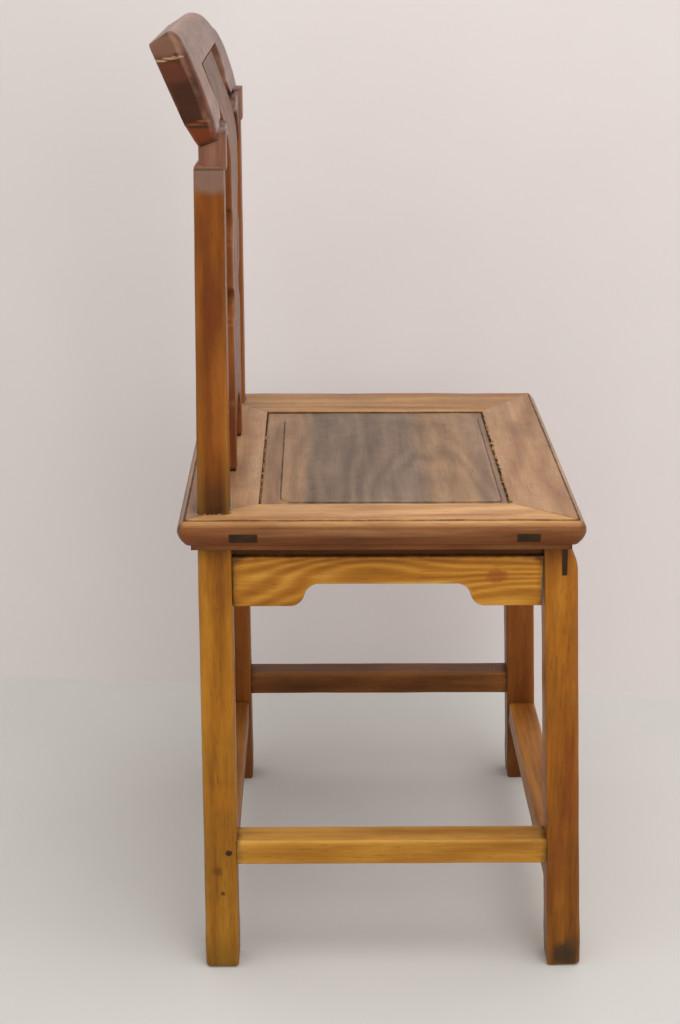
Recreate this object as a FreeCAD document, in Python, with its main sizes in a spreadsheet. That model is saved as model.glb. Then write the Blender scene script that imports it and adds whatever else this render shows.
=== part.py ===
"""Wooden side chair with a frame-and-panel seat, waisted aprons, a splat and a tilted crest rail.

Millimetres. +Z is up, the front of the chair is -Y and the sitter's right is -X. The origin is on
the floor under the middle of the chair. Every wooden piece is a separate solid with its own label.
The legs lean, so rails that meet them are made long and then cut back to the legs' real faces.
"""
import FreeCAD, Part
import os
import re
import Sketcher

doc = FreeCAD.newDocument("side_chair")

# Driving dimensions, one cell each

SIZES = {
    # seat frame
    "seat_height": 490.0,
    "seat_width": 470.0,
    "seat_depth": 390.0,
    "rail_height": 33.0,
    "rail_front_width": 69.0,
    "rail_rear_width": 77.0,
    "rail_right_width": 55.7,
    "rail_left_width": 88.0,
    "corner_radius": 10.0,
    "nose_height": 20.0,
    "nose_upper_radius": 14.0,
    "nose_lower_radius": 22.0,
    "lip_height": 5.5,
    "lip_inset": 13.0,
    "nose_foot_inset": 11.0,
    "bead_inset": 6.0,
    "bead_width": 2.4,
    "bead_depth": 1.8,
    "bead_edge_drop": 0.8,
    # through tenons of the front and rear seat rails
    "frame_tenon_height": 10.0,
    "frame_tenon_rise": 11.0,
    "frame_tenon_margin": 1.0,
    "frame_tenon_front_width": 24.0,
    "frame_tenon_set_in": 1.5,
    # seat panel and its batten
    "panel_drop": 1.8,
    "panel_thickness": 14.0,
    "field_rise": 1.4,
    "field_margin_rear": 21.0,
    "field_margin_front": 8.0,
    "field_margin_right": 8.0,
    "field_margin_left": 24.0,
    "field_corner_radius": 14.0,
    "tongue_length": 7.0,
    "tongue_thickness": 5.0,
    "tongue_drop": 5.5,
    "batten_width": 32.0,
    "batten_thickness": 15.0,
    # legs and back posts
    "foot_inset": 6.9,
    "side_lean": 0.0326,
    "foot_section": 34.7,
    "leg_section": 33.7,
    "front_foot_out": 14.5,
    "front_lean": 0.0426,
    "rear_foot_inset": 17.1,
    "rear_shoulder_inset": 17.7,
    "arris_radius": 5.0,
    "shoulder_drop": 26.0,
    "shoulder_set_in": 8.5,
    "shoulder_radius": 50.0,
    "waist_slot_gap": 1.0,
    "waist_slot_width": 6.5,
    "waist_slot_depth": 3.0,
    "waist_height": 11.0,
    "waist_recess": 9.5,
    "waist_thickness": 14.0,
    "leg_tenon_section": 16.0,
    "leg_tenon_height": 23.0,
    "post_front_low_inset": 49.6,
    "post_rear_low_inset": 18.5,
    "post_front_high_inset": 50.2,
    "post_rear_high_inset": 22.4,
    "post_width_low": 33.6,
    "post_width_high": 33.2,
    "post_top": 815.6,
    "post_shoulder_radius": 5.0,
    "post_tenon_width": 16.0,
    "post_tenon_depth": 14.0,
    "post_tenon_height": 34.0,
    # aprons
    "apron_depth": 51.0,
    "apron_thickness": 14.0,
    "apron_set_back": 1.6,
    "apron_arch_rise": 23.0,
    "apron_ogee_length": 23.0,
    "apron_ogee_radius": 15.0,
    "apron_spandrel": 58.0,
    # stretchers
    "side_stretcher_top": 144.8,
    "front_stretcher_top": 105.0,
    "rear_stretcher_top": 108.0,
    "stretcher_height": 27.5,
    "stretcher_thickness": 32.0,
    "stretcher_set_back": 0.4,
    "rear_stretcher_thickness": 28.0,
    "rear_stretcher_set_back": 3.4,
    "stretcher_tenon_width": 12.0,
    "stretcher_tenon_height": 20.0,
    "stretcher_tenon_length": 20.0,
    "peg_diameter": 7.0,
    "peg_length": 28.0,
    "peg_set_in": 8.6,
    # crest rail, in its own tilted plane: along the chair, up the face, back from the face
    "crest_tilt": 20.15,
    "crest_inset": 39.8,
    "crest_z": 860.2,
    "crest_top": 84.0,
    "crest_bottom": -20.9,
    "crest_foot_back": 19.6,
    "crest_rear_low": 24.2,
    "crest_rear_low_up": 2.4,
    "crest_rear_high": 28.4,
    "crest_rear_high_up": 79.0,
    "crest_top_back": 9.0,
    "crest_edge_round": 4.0,
    "crest_face_swell_radius": 420.0,
    "crest_end_inset": 27.0,
    "crest_left_end_inset": 22.0,
    "crest_end_foot_inset": 45.0,
    "crest_end_radius": 30.0,
    "crest_left_end_radius": 60.0,
    "crest_right_corner_radius": 8.0,
    "crest_right_foot_radius": 8.0,
    "crest_left_slope_start": 5.0,
    "crest_left_slope_inset": 70.0,
    "crest_left_slope_drop": 29.0,
    "crest_left_slope_radius": 420.0,
    "crest_centre_up": 42.0,
    "drop_right_inset": 111.0,
    "drop_left_inset": 119.0,
    "drop_inner_low_up": 26.0,
    "drop_bump": 29.0,
    "drop_bump_up": 5.0,
    "drop_sweep_radius": 40.0,
    "drop_nose_radius": 36.0,
    "drop_throat_up": -11.0,
    "drop_throat_radius": 60.0,
    "drop_heel_inset": 69.0,
    # necks and brackets under the crest
    "neck_inset": 1.0,
    "neck_front_inset": 47.6,
    "neck_rear_inset": 27.0,
    "neck_top": 846.0,
    "bracket_low": 794.0,
    "bracket_tip_z": 832.0,
    "bracket_tip_x": 84.0,
    "bracket_radius": 62.0,
    "bracket_front_inset": 49.0,
    "bracket_thickness": 12.0,
    # splat
    "splat_front_inset": 51.0,
    "splat_thickness": 11.0,
    "splat_top_set_in": 0.5,
    "splat_bend_radius": 169.0,
    "splat_half_width": 74.5,
    "splat_foot_half_width": 76.4,
    "splat_foot_height": 70.0,
    "notch_upper_z": 740.0,
    "notch_upper_half": 17.0,
    "notch_upper_radius": 17.2,
    "notch_lower_top": 678.0,
    "notch_lower_bottom": 643.0,
    "notch_lower_tip_z": 664.0,
    "notch_lower_tip_x": 45.0,
    "notch_lower_radius": 34.0,
    "slot_x": 36.0,
    "slot_bottom": 686.0,
    "slot_top": 714.0,
    "slot_width": 7.0,
    "slot_end_radius": 3.8,
    "arch_half_width": 50.0,
    "arch_spring": 26.0,
    "arch_height": 60.0,
    # clearances between mating pieces
    "tenon_clearance": 0.2,
    "joint_clearance": 0.3,
    "groove_clearance": 0.25,
}

# Places that follow the seat's outline, so that the whole chair grows and shrinks with its seat

TIED = {
    "foot_half_width": "seat_width / 2 - foot_inset",
    "front_foot_y": "seat_depth / 2 + front_foot_out",
    "rear_foot_y": "seat_depth / 2 - rear_foot_inset",
    "rear_shoulder_y": "seat_depth / 2 - rear_shoulder_inset",
    "post_front_low": "seat_depth / 2 - post_front_low_inset",
    "post_rear_low": "seat_depth / 2 - post_rear_low_inset",
    "post_front_high": "seat_depth / 2 - post_front_high_inset",
    "post_rear_high": "seat_depth / 2 - post_rear_high_inset",
    "crest_y": "seat_depth / 2 - crest_inset",
    "crest_half_width": "seat_width / 2 - crest_end_inset",
    "crest_left_half_width": "seat_width / 2 - crest_left_end_inset",
    "crest_end_foot": "seat_width / 2 - crest_end_foot_inset",
    "crest_left_slope_end": "seat_width / 2 - crest_left_slope_inset",
    "drop_right_inner": "seat_width / 2 - drop_right_inset",
    "drop_left_inner": "seat_width / 2 - drop_left_inset",
    "drop_heel": "seat_width / 2 - drop_heel_inset",
    "neck_front": "seat_depth / 2 - neck_front_inset",
    "neck_rear": "seat_depth / 2 - neck_rear_inset",
    "bracket_front": "seat_depth / 2 - bracket_front_inset",
    "splat_front": "seat_depth / 2 - splat_front_inset",
}

sheet = doc.addObject("Spreadsheet::Sheet", "sheet")
for row, (alias, size) in enumerate({**SIZES, **TIED}.items(), 1):
    sheet.set("A%d" % row, alias)
    sheet.set("B%d" % row, "=" + size if alias in TIED else str(size))
    sheet.setAlias("B%d" % row, alias)
doc.recompute()

# How formulas, solids and cuts are made


def formula(text):
    """text with the sheet's name put before each alias."""
    def owner(word):
        alias = word.group()
        return "sheet." + alias if alias in SIZES or alias in TIED else alias
    return re.sub(r"[A-Za-z_]\w*", owner, text)


def bind(obj, formulas):
    for prop, text in formulas.items():
        obj.setExpression(prop, formula(text))
    return obj


def number(text):
    """The present value of a formula."""
    return float(ruler.evalExpression(formula(text)))


ruler = doc.addObject("App::FeaturePython", "ruler")


def both(side, inner, outer):
    """The low and high X formulas of a span on one side: -1 sitter's right, 1 sitter's left."""
    if side > 0:
        return inner, outer
    return "-(%s)" % outer, "-(%s)" % inner


PLANES = {
    "XY": (FreeCAD.Rotation(), "z"),
    "XZ": (FreeCAD.Rotation(FreeCAD.Vector(1, 0, 0), 90), "y"),
    "YZ": (FreeCAD.Rotation(FreeCAD.Vector(1, 1, 1), 120), "x"),
}


def arc_between(start, end, radius, side):
    """The short arc of this radius from start to end, bulging left (1) or right (-1) of the way.

    Arcs run anticlockwise, so one that bulges to the left is drawn from its end to its start.
    """
    chord = end - start
    half = chord.Length / 2
    across = FreeCAD.Vector(-chord.y, chord.x, 0).normalize() * side
    rise = radius - max(radius * radius - half * half, 0.0) ** 0.5
    middle = start + chord / 2 + across * rise
    return Part.Arc(end, middle, start) if side > 0 else Part.Arc(start, middle, end)


def prism(name, plane, points, low, high):
    """A flat outline on a plane, carried from low to high along the plane's normal.

    A point is (across, up), or (across, up, radius, side) where an arc leads on to the next one.
    """
    rotation, axis = PLANES[plane]
    sketch = doc.addObject("Sketcher::SketchObject", name + "_outline")
    sketch.Placement = FreeCAD.Placement(FreeCAD.Vector(), rotation)
    bind(sketch, {"Placement.Base." + axis: high if plane == "XZ" else low})
    places = [FreeCAD.Vector(number(p[0]), number(p[1]), 0) for p in points]
    count = len(points)
    first = []
    for i, point in enumerate(points):
        start = places[i]
        end = places[(i + 1) % count]
        if len(point) == 2:
            sketch.addGeometry(Part.LineSegment(start, end))
            first.append(1)
        else:
            sketch.addGeometry(arc_between(start, end, number(point[2]), point[3]))
            first.append(2 if point[3] > 0 else 1)
    for i in range(count):
        after = (i + 1) % count
        sketch.addConstraint(Sketcher.Constraint("Coincident", i, 3 - first[i], after, first[after]))
    for i, point in enumerate(points):
        for kind, text in (("DistanceX", point[0]), ("DistanceY", point[1])):
            place = Sketcher.Constraint(kind, -1, 1, i, first[i], number(text))
            bind(sketch, {"Constraints[%d]" % sketch.addConstraint(place): text})
        if len(point) > 2:
            curve = Sketcher.Constraint("Radius", i, number(point[2]))
            bind(sketch, {"Constraints[%d]" % sketch.addConstraint(curve): point[2]})
    solid = doc.addObject("Part::Extrusion", name)
    solid.Base = sketch
    solid.DirMode = "Normal"
    solid.Solid = True
    bind(solid, {"LengthFwd": "(%s) - (%s)" % (high, low)})
    return solid


def box(name, across, along, upward, grow="0"):
    """A block between pairs of formulas in X, Y and Z, grown by the same amount on every side."""
    solid = doc.addObject("Part::Box", name)
    for axis, size, (low, high) in zip("xyz", ("Length", "Width", "Height"), (across, along, upward)):
        bind(solid, {"Placement.Base." + axis: "(%s) - (%s)" % (low, grow),
                     size: "(%s) - (%s) + 2 * (%s)" % (high, low, grow)})
    return solid


def tapered(name, low, high, grow="0"):
    """A four-sided post between two level rectangles, each (X pair, Y pair, Z)."""
    solid = doc.addObject("Part::Wedge", name)
    solid.Placement.Rotation = PLANES["XZ"][0]
    for (across, along, level), mark, end in ((low, "", "Ymin"), (high, "2", "Ymax")):
        bind(solid, {
            end: level,
            "X%smin" % mark: "(%s) - (%s)" % (across[0], grow),
            "X%smax" % mark: "(%s) + (%s)" % (across[1], grow),
            "Z%smin" % mark: "-(%s) - (%s)" % (along[1], grow),
            "Z%smax" % mark: "-(%s) + (%s)" % (along[0], grow),
        })
    return solid


def fused(name, *pieces):
    solid = doc.addObject("Part::MultiFuse", name)
    solid.Shapes = list(pieces)
    solid.Refine = True
    return solid


def common(name, *pieces):
    solid = pieces[0]
    for i, piece in enumerate(pieces[1:]):
        both_of = doc.addObject("Part::Common", "%s_%d" % (name, i))
        both_of.Base = solid
        both_of.Tool = piece
        solid = both_of
    return solid


def cut(name, base, *tools):
    tool = tools[0]
    if len(tools) > 1:
        tool = doc.addObject("Part::MultiFuse", name + "_tools")
        tool.Shapes = list(tools)
    solid = doc.addObject("Part::Cut", name)
    solid.Base = base
    solid.Tool = tool
    return solid


def rounded(name, base, radius, chosen):
    """base with a round on each edge for whose two ends chosen is true."""
    doc.recompute()
    size = number(radius)
    edges = [i for i, edge in enumerate(base.Shape.Edges, 1)
             if chosen([vertex.Point for vertex in edge.Vertexes])]
    solid = doc.addObject("Part::Fillet", name)
    solid.Base = base
    solid.Edges = [(i, size, size) for i in edges]
    return solid


def mirrored(source, name):
    """The same piece on the sitter's left."""
    solid = doc.addObject("Part::Mirroring", name)
    solid.Source = source
    solid.Normal = FreeCAD.Vector(1, 0, 0)
    solid.Base = FreeCAD.Vector()
    return solid


PARTS = []


def sub_part(solid, label):
    solid.Label = label
    PARTS.append(solid)
    return solid


# Levels and faces that several pieces share

RAIL_BOTTOM = "(seat_height - rail_height)"
SHOULDER = "(%s - waist_height)" % RAIL_BOTTOM
APRON_BOTTOM = "(%s - apron_depth)" % SHOULDER
RIGHT_EDGE = "(-seat_width / 2)"
LEFT_EDGE = "(seat_width / 2)"
FRONT_EDGE = "(-seat_depth / 2)"
REAR_EDGE = "(seat_depth / 2)"
PANEL_RIGHT = "(rail_right_width - seat_width / 2)"
PANEL_LEFT = "(seat_width / 2 - rail_left_width)"
PANEL_FRONT = "(rail_front_width - seat_depth / 2)"
PANEL_REAR = "(seat_depth / 2 - rail_rear_width)"


def leg_outer(level):
    """Distance from the middle plane to a leg's outer face at this height."""
    return "(foot_half_width - side_lean * %s)" % level


def front_face(level):
    """Y of the front legs' front face at this height."""
    return "(front_lean * %s - front_foot_y)" % level


def right(inner, outer):
    return both(-1, inner, outer)


# Legs of the sitter's right, before their mortises are cut

foot_x = right("foot_half_width - foot_section", "foot_half_width")
top_x = right("%s - leg_section" % leg_outer(RAIL_BOTTOM), leg_outer(RAIL_BOTTOM))

outer_side = number("%s + foot_half_width - foot_section" % leg_outer(RAIL_BOTTOM)) / 2
front_side = number("%s - front_foot_y + foot_section" % front_face(RAIL_BOTTOM)) / 2
rear_side = number("rear_shoulder_y - foot_section / 2")


def outer_arris(beyond):
    """Chooses a leg's long edge between its outer face and its front or rear face."""
    return lambda ends: all(-end.x > outer_side and beyond(end) for end in ends)


front_block = tapered(
    "front_block",
    (foot_x, ("-front_foot_y", "foot_section - front_foot_y"), "0"),
    (top_x, (front_face(RAIL_BOTTOM), "%s + leg_section" % front_face(RAIL_BOTTOM)), RAIL_BOTTOM))
front_body = rounded("front_body", front_block, "arris_radius",
                     outer_arris(lambda end: end.y < front_side))

# The front leg's shoulder curves back to the waist, and a slot beside it marks the waist's end

shoulder_start = "(%s - shoulder_drop)" % RAIL_BOTTOM
shoulder_end_y = "(%s + shoulder_set_in)" % front_face(RAIL_BOTTOM)
beyond_y = "(%s - foot_section)" % front_face(RAIL_BOTTOM)
shoulder_waste = prism("shoulder_waste", "YZ", [
    (front_face(shoulder_start), shoulder_start, "shoulder_radius", 1),
    (shoulder_end_y, RAIL_BOTTOM),
    (shoulder_end_y, "seat_height"),
    (beyond_y, "seat_height"),
    (beyond_y, shoulder_start),
], "-seat_width / 2", "0")
waist_slot_y = ("%s + waist_slot_gap" % shoulder_end_y,
                "%s + waist_slot_gap + waist_slot_width" % shoulder_end_y)
waist_slot = box("waist_slot",
                 right("%s - waist_slot_depth" % leg_outer(RAIL_BOTTOM), "seat_width / 2"),
                 waist_slot_y, (shoulder_start, RAIL_BOTTOM))
front_shaped = cut("front_shaped", front_body, shoulder_waste, waist_slot)
leg_centre_x = "(leg_section / 2 - %s)" % leg_outer(SHOULDER)
leg_centre_y = "(%s + leg_section / 2)" % front_face(SHOULDER)
leg_tenon_span = (
    ("%s - leg_tenon_section / 2" % leg_centre_x, "%s + leg_tenon_section / 2" % leg_centre_x),
    ("%s - leg_tenon_section / 2" % leg_centre_y, "%s + leg_tenon_section / 2" % leg_centre_y),
    (RAIL_BOTTOM, "%s + leg_tenon_height" % RAIL_BOTTOM))
leg_tenon = box("leg_tenon", *leg_tenon_span)
front_leg_whole = fused("front_leg_whole", front_shaped, leg_tenon)

rear_block = tapered(
    "rear_block",
    (foot_x, ("rear_foot_y - foot_section", "rear_foot_y"), "0"),
    (top_x, ("rear_shoulder_y - leg_section", "rear_shoulder_y"), RAIL_BOTTOM))
rear_body = rounded("rear_body", rear_block, "arris_radius",
                    outer_arris(lambda end: end.y > rear_side))


def post(name, grow="0"):
    """The back post of the sitter's right, from under the seat frame to the crest's neck."""
    return tapered(
        name,
        (right("%s - post_width_low" % leg_outer(RAIL_BOTTOM), leg_outer(RAIL_BOTTOM)),
         ("post_front_low", "post_rear_low"), RAIL_BOTTOM),
        (right("%s - post_width_high" % leg_outer("post_top"), leg_outer("post_top")),
         ("post_front_high", "post_rear_high"), "post_top"), grow)


post_block = post("post_block")
post_top = number("post_top")
post_middle = number("(post_front_high + post_rear_high) / 2")
post_body = rounded("post_body", post_block, "post_shoulder_radius",
                    lambda ends: all(end.z > post_top - 0.01 and end.y > post_middle for end in ends))
post_centre_x = "(post_width_high / 2 - %s)" % leg_outer("post_top")
post_centre_y = "((neck_front + neck_rear) / 2)"
post_tenon_span = (
    ("%s - post_tenon_width / 2" % post_centre_x, "%s + post_tenon_width / 2" % post_centre_x),
    ("%s - post_tenon_depth / 2" % post_centre_y, "%s + post_tenon_depth / 2" % post_centre_y),
    ("post_top", "post_top + post_tenon_height"))
post_tenon = box("post_tenon", *post_tenon_span)
rear_leg_whole = fused("rear_leg_whole", rear_body, post_body, post_tenon)

# Stretchers: blocks cut back to the legs, with a tenon at each end


def stretcher(name, plane_span, along_axis, low, high, level, legs):
    """A stretcher between two legs, and the bar that makes its tenons and their mortises."""
    across_low, across_high = plane_span
    middle = "((%s) + (%s)) / 2" % (across_low, across_high)
    tenon_across = ("%s - stretcher_tenon_width / 2" % middle, "%s + stretcher_tenon_width / 2" % middle)
    bottom = "%s - stretcher_height" % level
    tenon_low = "%s - (stretcher_height + stretcher_tenon_height) / 2" % level
    tenon_high = "%s - (stretcher_height - stretcher_tenon_height) / 2" % level
    reach = ("%s - stretcher_tenon_length" % low, "%s + stretcher_tenon_length" % high)
    half_reach = ("%s - stretcher_tenon_length / 2" % low, "%s + stretcher_tenon_length / 2" % high)
    if along_axis == "y":
        block = box(name + "_block", (across_low, across_high), half_reach, (bottom, level))
        bar_span = (tenon_across, reach, (tenon_low, tenon_high))
    else:
        block = box(name + "_block", half_reach, (across_low, across_high), (bottom, level))
        bar_span = (reach, tenon_across, (tenon_low, tenon_high))
    body = cut(name + "_body", block, *legs)
    return fused(name, body, box(name + "_bar", *bar_span)), bar_span


left_front_leg_whole = mirrored(front_leg_whole, "left_front_leg_whole")
left_rear_leg_whole = mirrored(rear_leg_whole, "left_rear_leg_whole")

side_outer = "(%s - stretcher_set_back)" % leg_outer("(side_stretcher_top - stretcher_height / 2)")
side_level = "side_stretcher_top"
front_inner = "(%s + leg_section)" % front_face("side_stretcher_top")
rear_inner = "(rear_shoulder_y - leg_section)"
right_stretcher, right_bar = stretcher(
    "right_stretcher", right("%s - stretcher_thickness" % side_outer, side_outer),
    "y", front_inner, rear_inner, side_level, (front_leg_whole, rear_leg_whole))

cross_reach = "(%s - leg_section)" % leg_outer("front_stretcher_top")
footrest_y = "(%s + stretcher_set_back)" % front_face("(front_stretcher_top - stretcher_height / 2)")
front_stretcher, front_bar = stretcher(
    "front_stretcher", (footrest_y, "%s + stretcher_thickness" % footrest_y),
    "x", "-" + cross_reach, cross_reach, "front_stretcher_top",
    (front_leg_whole, left_front_leg_whole))
rear_outer = "(rear_foot_y - rear_stretcher_set_back)"
rear_stretcher, rear_bar = stretcher(
    "rear_stretcher", ("%s - rear_stretcher_thickness" % rear_outer, rear_outer),
    "x", "-" + cross_reach, cross_reach, "rear_stretcher_top",
    (rear_leg_whole, left_rear_leg_whole))

# Round pegs through the rear legs and the side stretchers' tenons

peg_z = "(side_stretcher_top - stretcher_height / 2)"


def peg(name, grow="0"):
    """A peg driven in from the outer face of the sitter's right rear leg."""
    solid = doc.addObject("Part::Cylinder", name)
    solid.Placement.Rotation = FreeCAD.Rotation(FreeCAD.Vector(0, 1, 0), 90)
    return bind(solid, {
        "Radius": "peg_diameter / 2 + %s" % grow,
        "Height": "peg_length",
        "Placement.Base.x": "-%s" % leg_outer(peg_z),
        "Placement.Base.y": "rear_foot_y - foot_section + peg_set_in",
        "Placement.Base.z": peg_z,
    })


right_peg = peg("right_peg")
peg_hole = peg("peg_hole", "tenon_clearance / 2")
left_peg = mirrored(right_peg, "left_peg")
pegs = doc.addObject("Part::Compound", "pegs")
pegs.Links = [right_peg, left_peg]
sub_part(pegs, "stretcher_pegs")

right_side_stretcher = cut("right_side_stretcher", right_stretcher, peg_hole)
sub_part(right_side_stretcher, "stretcher_right")
sub_part(mirrored(right_side_stretcher, "left_side_stretcher"), "stretcher_left")
sub_part(front_stretcher, "stretcher_front")
sub_part(rear_stretcher, "stretcher_rear")

# Mortises, and the finished legs

front_right_leg = cut("front_right_leg", front_leg_whole,
                      box("front_side_mortise", *right_bar, "tenon_clearance"),
                      box("front_cross_mortise", *front_bar, "tenon_clearance"))
rear_right_leg = cut("rear_right_leg", rear_leg_whole,
                     box("rear_side_mortise", *right_bar, "tenon_clearance"),
                     box("rear_cross_mortise", *rear_bar, "tenon_clearance"),
                     peg_hole)
sub_part(front_right_leg, "front_leg_right")
sub_part(mirrored(front_right_leg, "front_left_leg"), "front_leg_left")
sub_part(rear_right_leg, "rear_leg_right")
sub_part(mirrored(rear_right_leg, "rear_left_leg"), "rear_leg_left")

# Seat frame: one moulded profile, mitred from the outer to the inner corners


def rail_profile(from_edge, width):
    """The rail's section; from_edge turns a distance inward into a coordinate."""
    top = "seat_height"
    nose = "seat_height - rail_height + nose_height"
    groove_top = "(seat_height - tongue_drop + groove_clearance)"
    groove_bottom = "(seat_height - tongue_drop - tongue_thickness - groove_clearance)"
    groove_end = "%s - tongue_length - 1" % width
    lip = "%s + lip_height" % RAIL_BOTTOM
    turn = from_edge("0")[1]
    at = lambda inward: from_edge(inward)[0]
    return [
        (at(width), top),
        (at("bead_inset + bead_width"), top),
        (at("bead_inset + bead_width / 2"), "seat_height - bead_depth"),
        (at("bead_inset"), "seat_height - bead_edge_drop", "nose_upper_radius", turn),
        (at("0"), nose, "nose_lower_radius", turn),
        (at("nose_foot_inset"), lip),
        (at("lip_inset"), lip),
        (at("lip_inset"), RAIL_BOTTOM),
        (at(width), RAIL_BOTTOM),
        (at(width), groove_bottom),
        (at(groove_end), groove_bottom),
        (at(groove_end), groove_top),
        (at(width), groove_top),
    ]


def inward_from(edge, sign):
    """Distances inward from an edge: sign 1 where inward is the positive direction."""
    word = "+" if sign > 0 else "-"
    return lambda inward: ("%s %s (%s)" % (edge, word, inward), -sign)


seat_plan = []
for x_word, y_word, corner in (("-", "-", 0), ("", "-", 1), ("", "", 2), ("-", "", 3)):
    x_edge = "%sseat_width / 2" % x_word
    y_edge = "%sseat_depth / 2" % y_word
    x_in = "%s %s corner_radius" % (x_edge, "+" if x_word else "-")
    y_in = "%s %s corner_radius" % (y_edge, "+" if y_word else "-")
    before, after = ((x_edge, y_in), (x_in, y_edge))
    if corner in (1, 3):
        before, after = after, before
    seat_plan.append(before + ("corner_radius", -1))
    seat_plan.append(after)

OUTER = {"front_right": (RIGHT_EDGE, FRONT_EDGE), "front_left": (LEFT_EDGE, FRONT_EDGE),
         "rear_left": (LEFT_EDGE, REAR_EDGE), "rear_right": (RIGHT_EDGE, REAR_EDGE)}
INNER = {"front_right": (PANEL_RIGHT, PANEL_FRONT), "front_left": (PANEL_LEFT, PANEL_FRONT),
         "rear_left": (PANEL_LEFT, PANEL_REAR), "rear_right": (PANEL_RIGHT, PANEL_REAR)}

post_hole = post("post_hole", "tenon_clearance")
left_post_hole = mirrored(post_hole, "left_post_hole")
leg_mortise = box("leg_mortise", *leg_tenon_span, "tenon_clearance")
left_leg_mortise = mirrored(leg_mortise, "left_leg_mortise")

FRAME_TENON_Z = ("%s + frame_tenon_rise" % RAIL_BOTTOM,
                 "%s + frame_tenon_rise + frame_tenon_height" % RAIL_BOTTOM)
FRAME_TENON_X = ("frame_tenon_set_in - seat_width / 2", "seat_width / 2 - frame_tenon_set_in")
rear_tenon_y = ("%s + frame_tenon_margin" % PANEL_REAR, "post_front_low - frame_tenon_margin")
front_tenon_y = ("%s - frame_tenon_margin - frame_tenon_front_width" % PANEL_FRONT,
                 "%s - frame_tenon_margin" % PANEL_FRONT)


def seat_rail(name, plane, profile, low, high, corner_a, corner_b, cuts):
    """One member of the frame: its profile, trimmed by the mitres and the rounded plan."""
    run = prism(name + "_run", plane, profile, low, high)
    plan = [OUTER[corner_a], OUTER[corner_b], INNER[corner_b], INNER[corner_a]]
    wedge = prism(name + "_mitres", "XY", plan, "0", "2 * seat_height")
    limit = prism(name + "_plan", "XY", seat_plan, "0", "2 * seat_height")
    trimmed = common(name + "_trimmed", run, wedge, limit)
    return cut(name, trimmed, *cuts)


front_rail = seat_rail(
    "front_rail", "YZ", rail_profile(inward_from(FRONT_EDGE, 1), "rail_front_width"),
    RIGHT_EDGE, LEFT_EDGE, "front_right", "front_left", (leg_mortise, left_leg_mortise))
rear_rail = seat_rail(
    "rear_rail", "YZ", rail_profile(inward_from(REAR_EDGE, -1), "rail_rear_width"),
    RIGHT_EDGE, LEFT_EDGE, "rear_right", "rear_left", (post_hole, left_post_hole))
sub_part(fused("front_rail_whole", front_rail,
               box("front_frame_tenons", FRAME_TENON_X, front_tenon_y, FRAME_TENON_Z)),
         "seat_rail_front")
sub_part(fused("rear_rail_whole", rear_rail,
               box("rear_frame_tenons", FRAME_TENON_X, rear_tenon_y, FRAME_TENON_Z)),
         "seat_rail_rear")

THROUGH_X = ("-seat_width", "seat_width")
front_frame_mortise = box("front_frame_mortise", THROUGH_X, front_tenon_y, FRAME_TENON_Z,
                          "tenon_clearance")
rear_frame_mortise = box("rear_frame_mortise", THROUGH_X, rear_tenon_y, FRAME_TENON_Z,
                         "tenon_clearance")
sub_part(seat_rail(
    "right_rail", "XZ", rail_profile(inward_from(RIGHT_EDGE, 1), "rail_right_width"),
    FRONT_EDGE, REAR_EDGE, "rear_right", "front_right",
    (leg_mortise, post_hole, front_frame_mortise, rear_frame_mortise)), "seat_rail_right")
sub_part(seat_rail(
    "left_rail", "XZ", rail_profile(inward_from(LEFT_EDGE, -1), "rail_left_width"),
    FRONT_EDGE, REAR_EDGE, "rear_left", "front_left",
    (left_leg_mortise, left_post_hole, front_frame_mortise, rear_frame_mortise)), "seat_rail_left")

# Seat panel: a board with a tongue all round and a slightly raised field, and its batten

PANEL_TOP = "(seat_height - panel_drop)"
PANEL_BOTTOM = "(%s - panel_thickness)" % PANEL_TOP
board = box("board",
            (PANEL_RIGHT + " + joint_clearance", PANEL_LEFT + " - joint_clearance"),
            (PANEL_FRONT + " + joint_clearance", PANEL_REAR + " - joint_clearance"),
            (PANEL_BOTTOM, PANEL_TOP))
tongue = box("tongue",
             (PANEL_RIGHT + " - tongue_length", PANEL_LEFT + " + tongue_length"),
             (PANEL_FRONT + " - tongue_length", PANEL_REAR + " + tongue_length"),
             ("seat_height - tongue_drop - tongue_thickness", "seat_height - tongue_drop"))
field_x = (PANEL_RIGHT + " + field_margin_right", PANEL_LEFT + " - field_margin_left")
field_y = (PANEL_FRONT + " + field_margin_front", PANEL_REAR + " - field_margin_rear")
field_plan = [
    (field_x[0], field_y[0]),
    (field_x[1], field_y[0]),
    (field_x[1], field_y[1] + " - field_corner_radius", "field_corner_radius", -1),
    (field_x[1] + " - field_corner_radius", field_y[1]),
    (field_x[0] + " + field_corner_radius", field_y[1], "field_corner_radius", -1),
    (field_x[0], field_y[1] + " - field_corner_radius"),
]
field = prism("field", "XY", field_plan, PANEL_TOP, PANEL_TOP + " + field_rise")
sub_part(fused("panel", board, tongue, field), "seat_panel")

batten_middle = "((%s + %s) / 2)" % (PANEL_RIGHT, PANEL_LEFT)
sub_part(box("batten",
             (batten_middle + " - batten_width / 2", batten_middle + " + batten_width / 2"),
             (PANEL_FRONT, PANEL_REAR),
             (PANEL_BOTTOM + " - batten_thickness", PANEL_BOTTOM)), "seat_batten")

# Waist strips between the legs, set back from their faces

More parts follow.
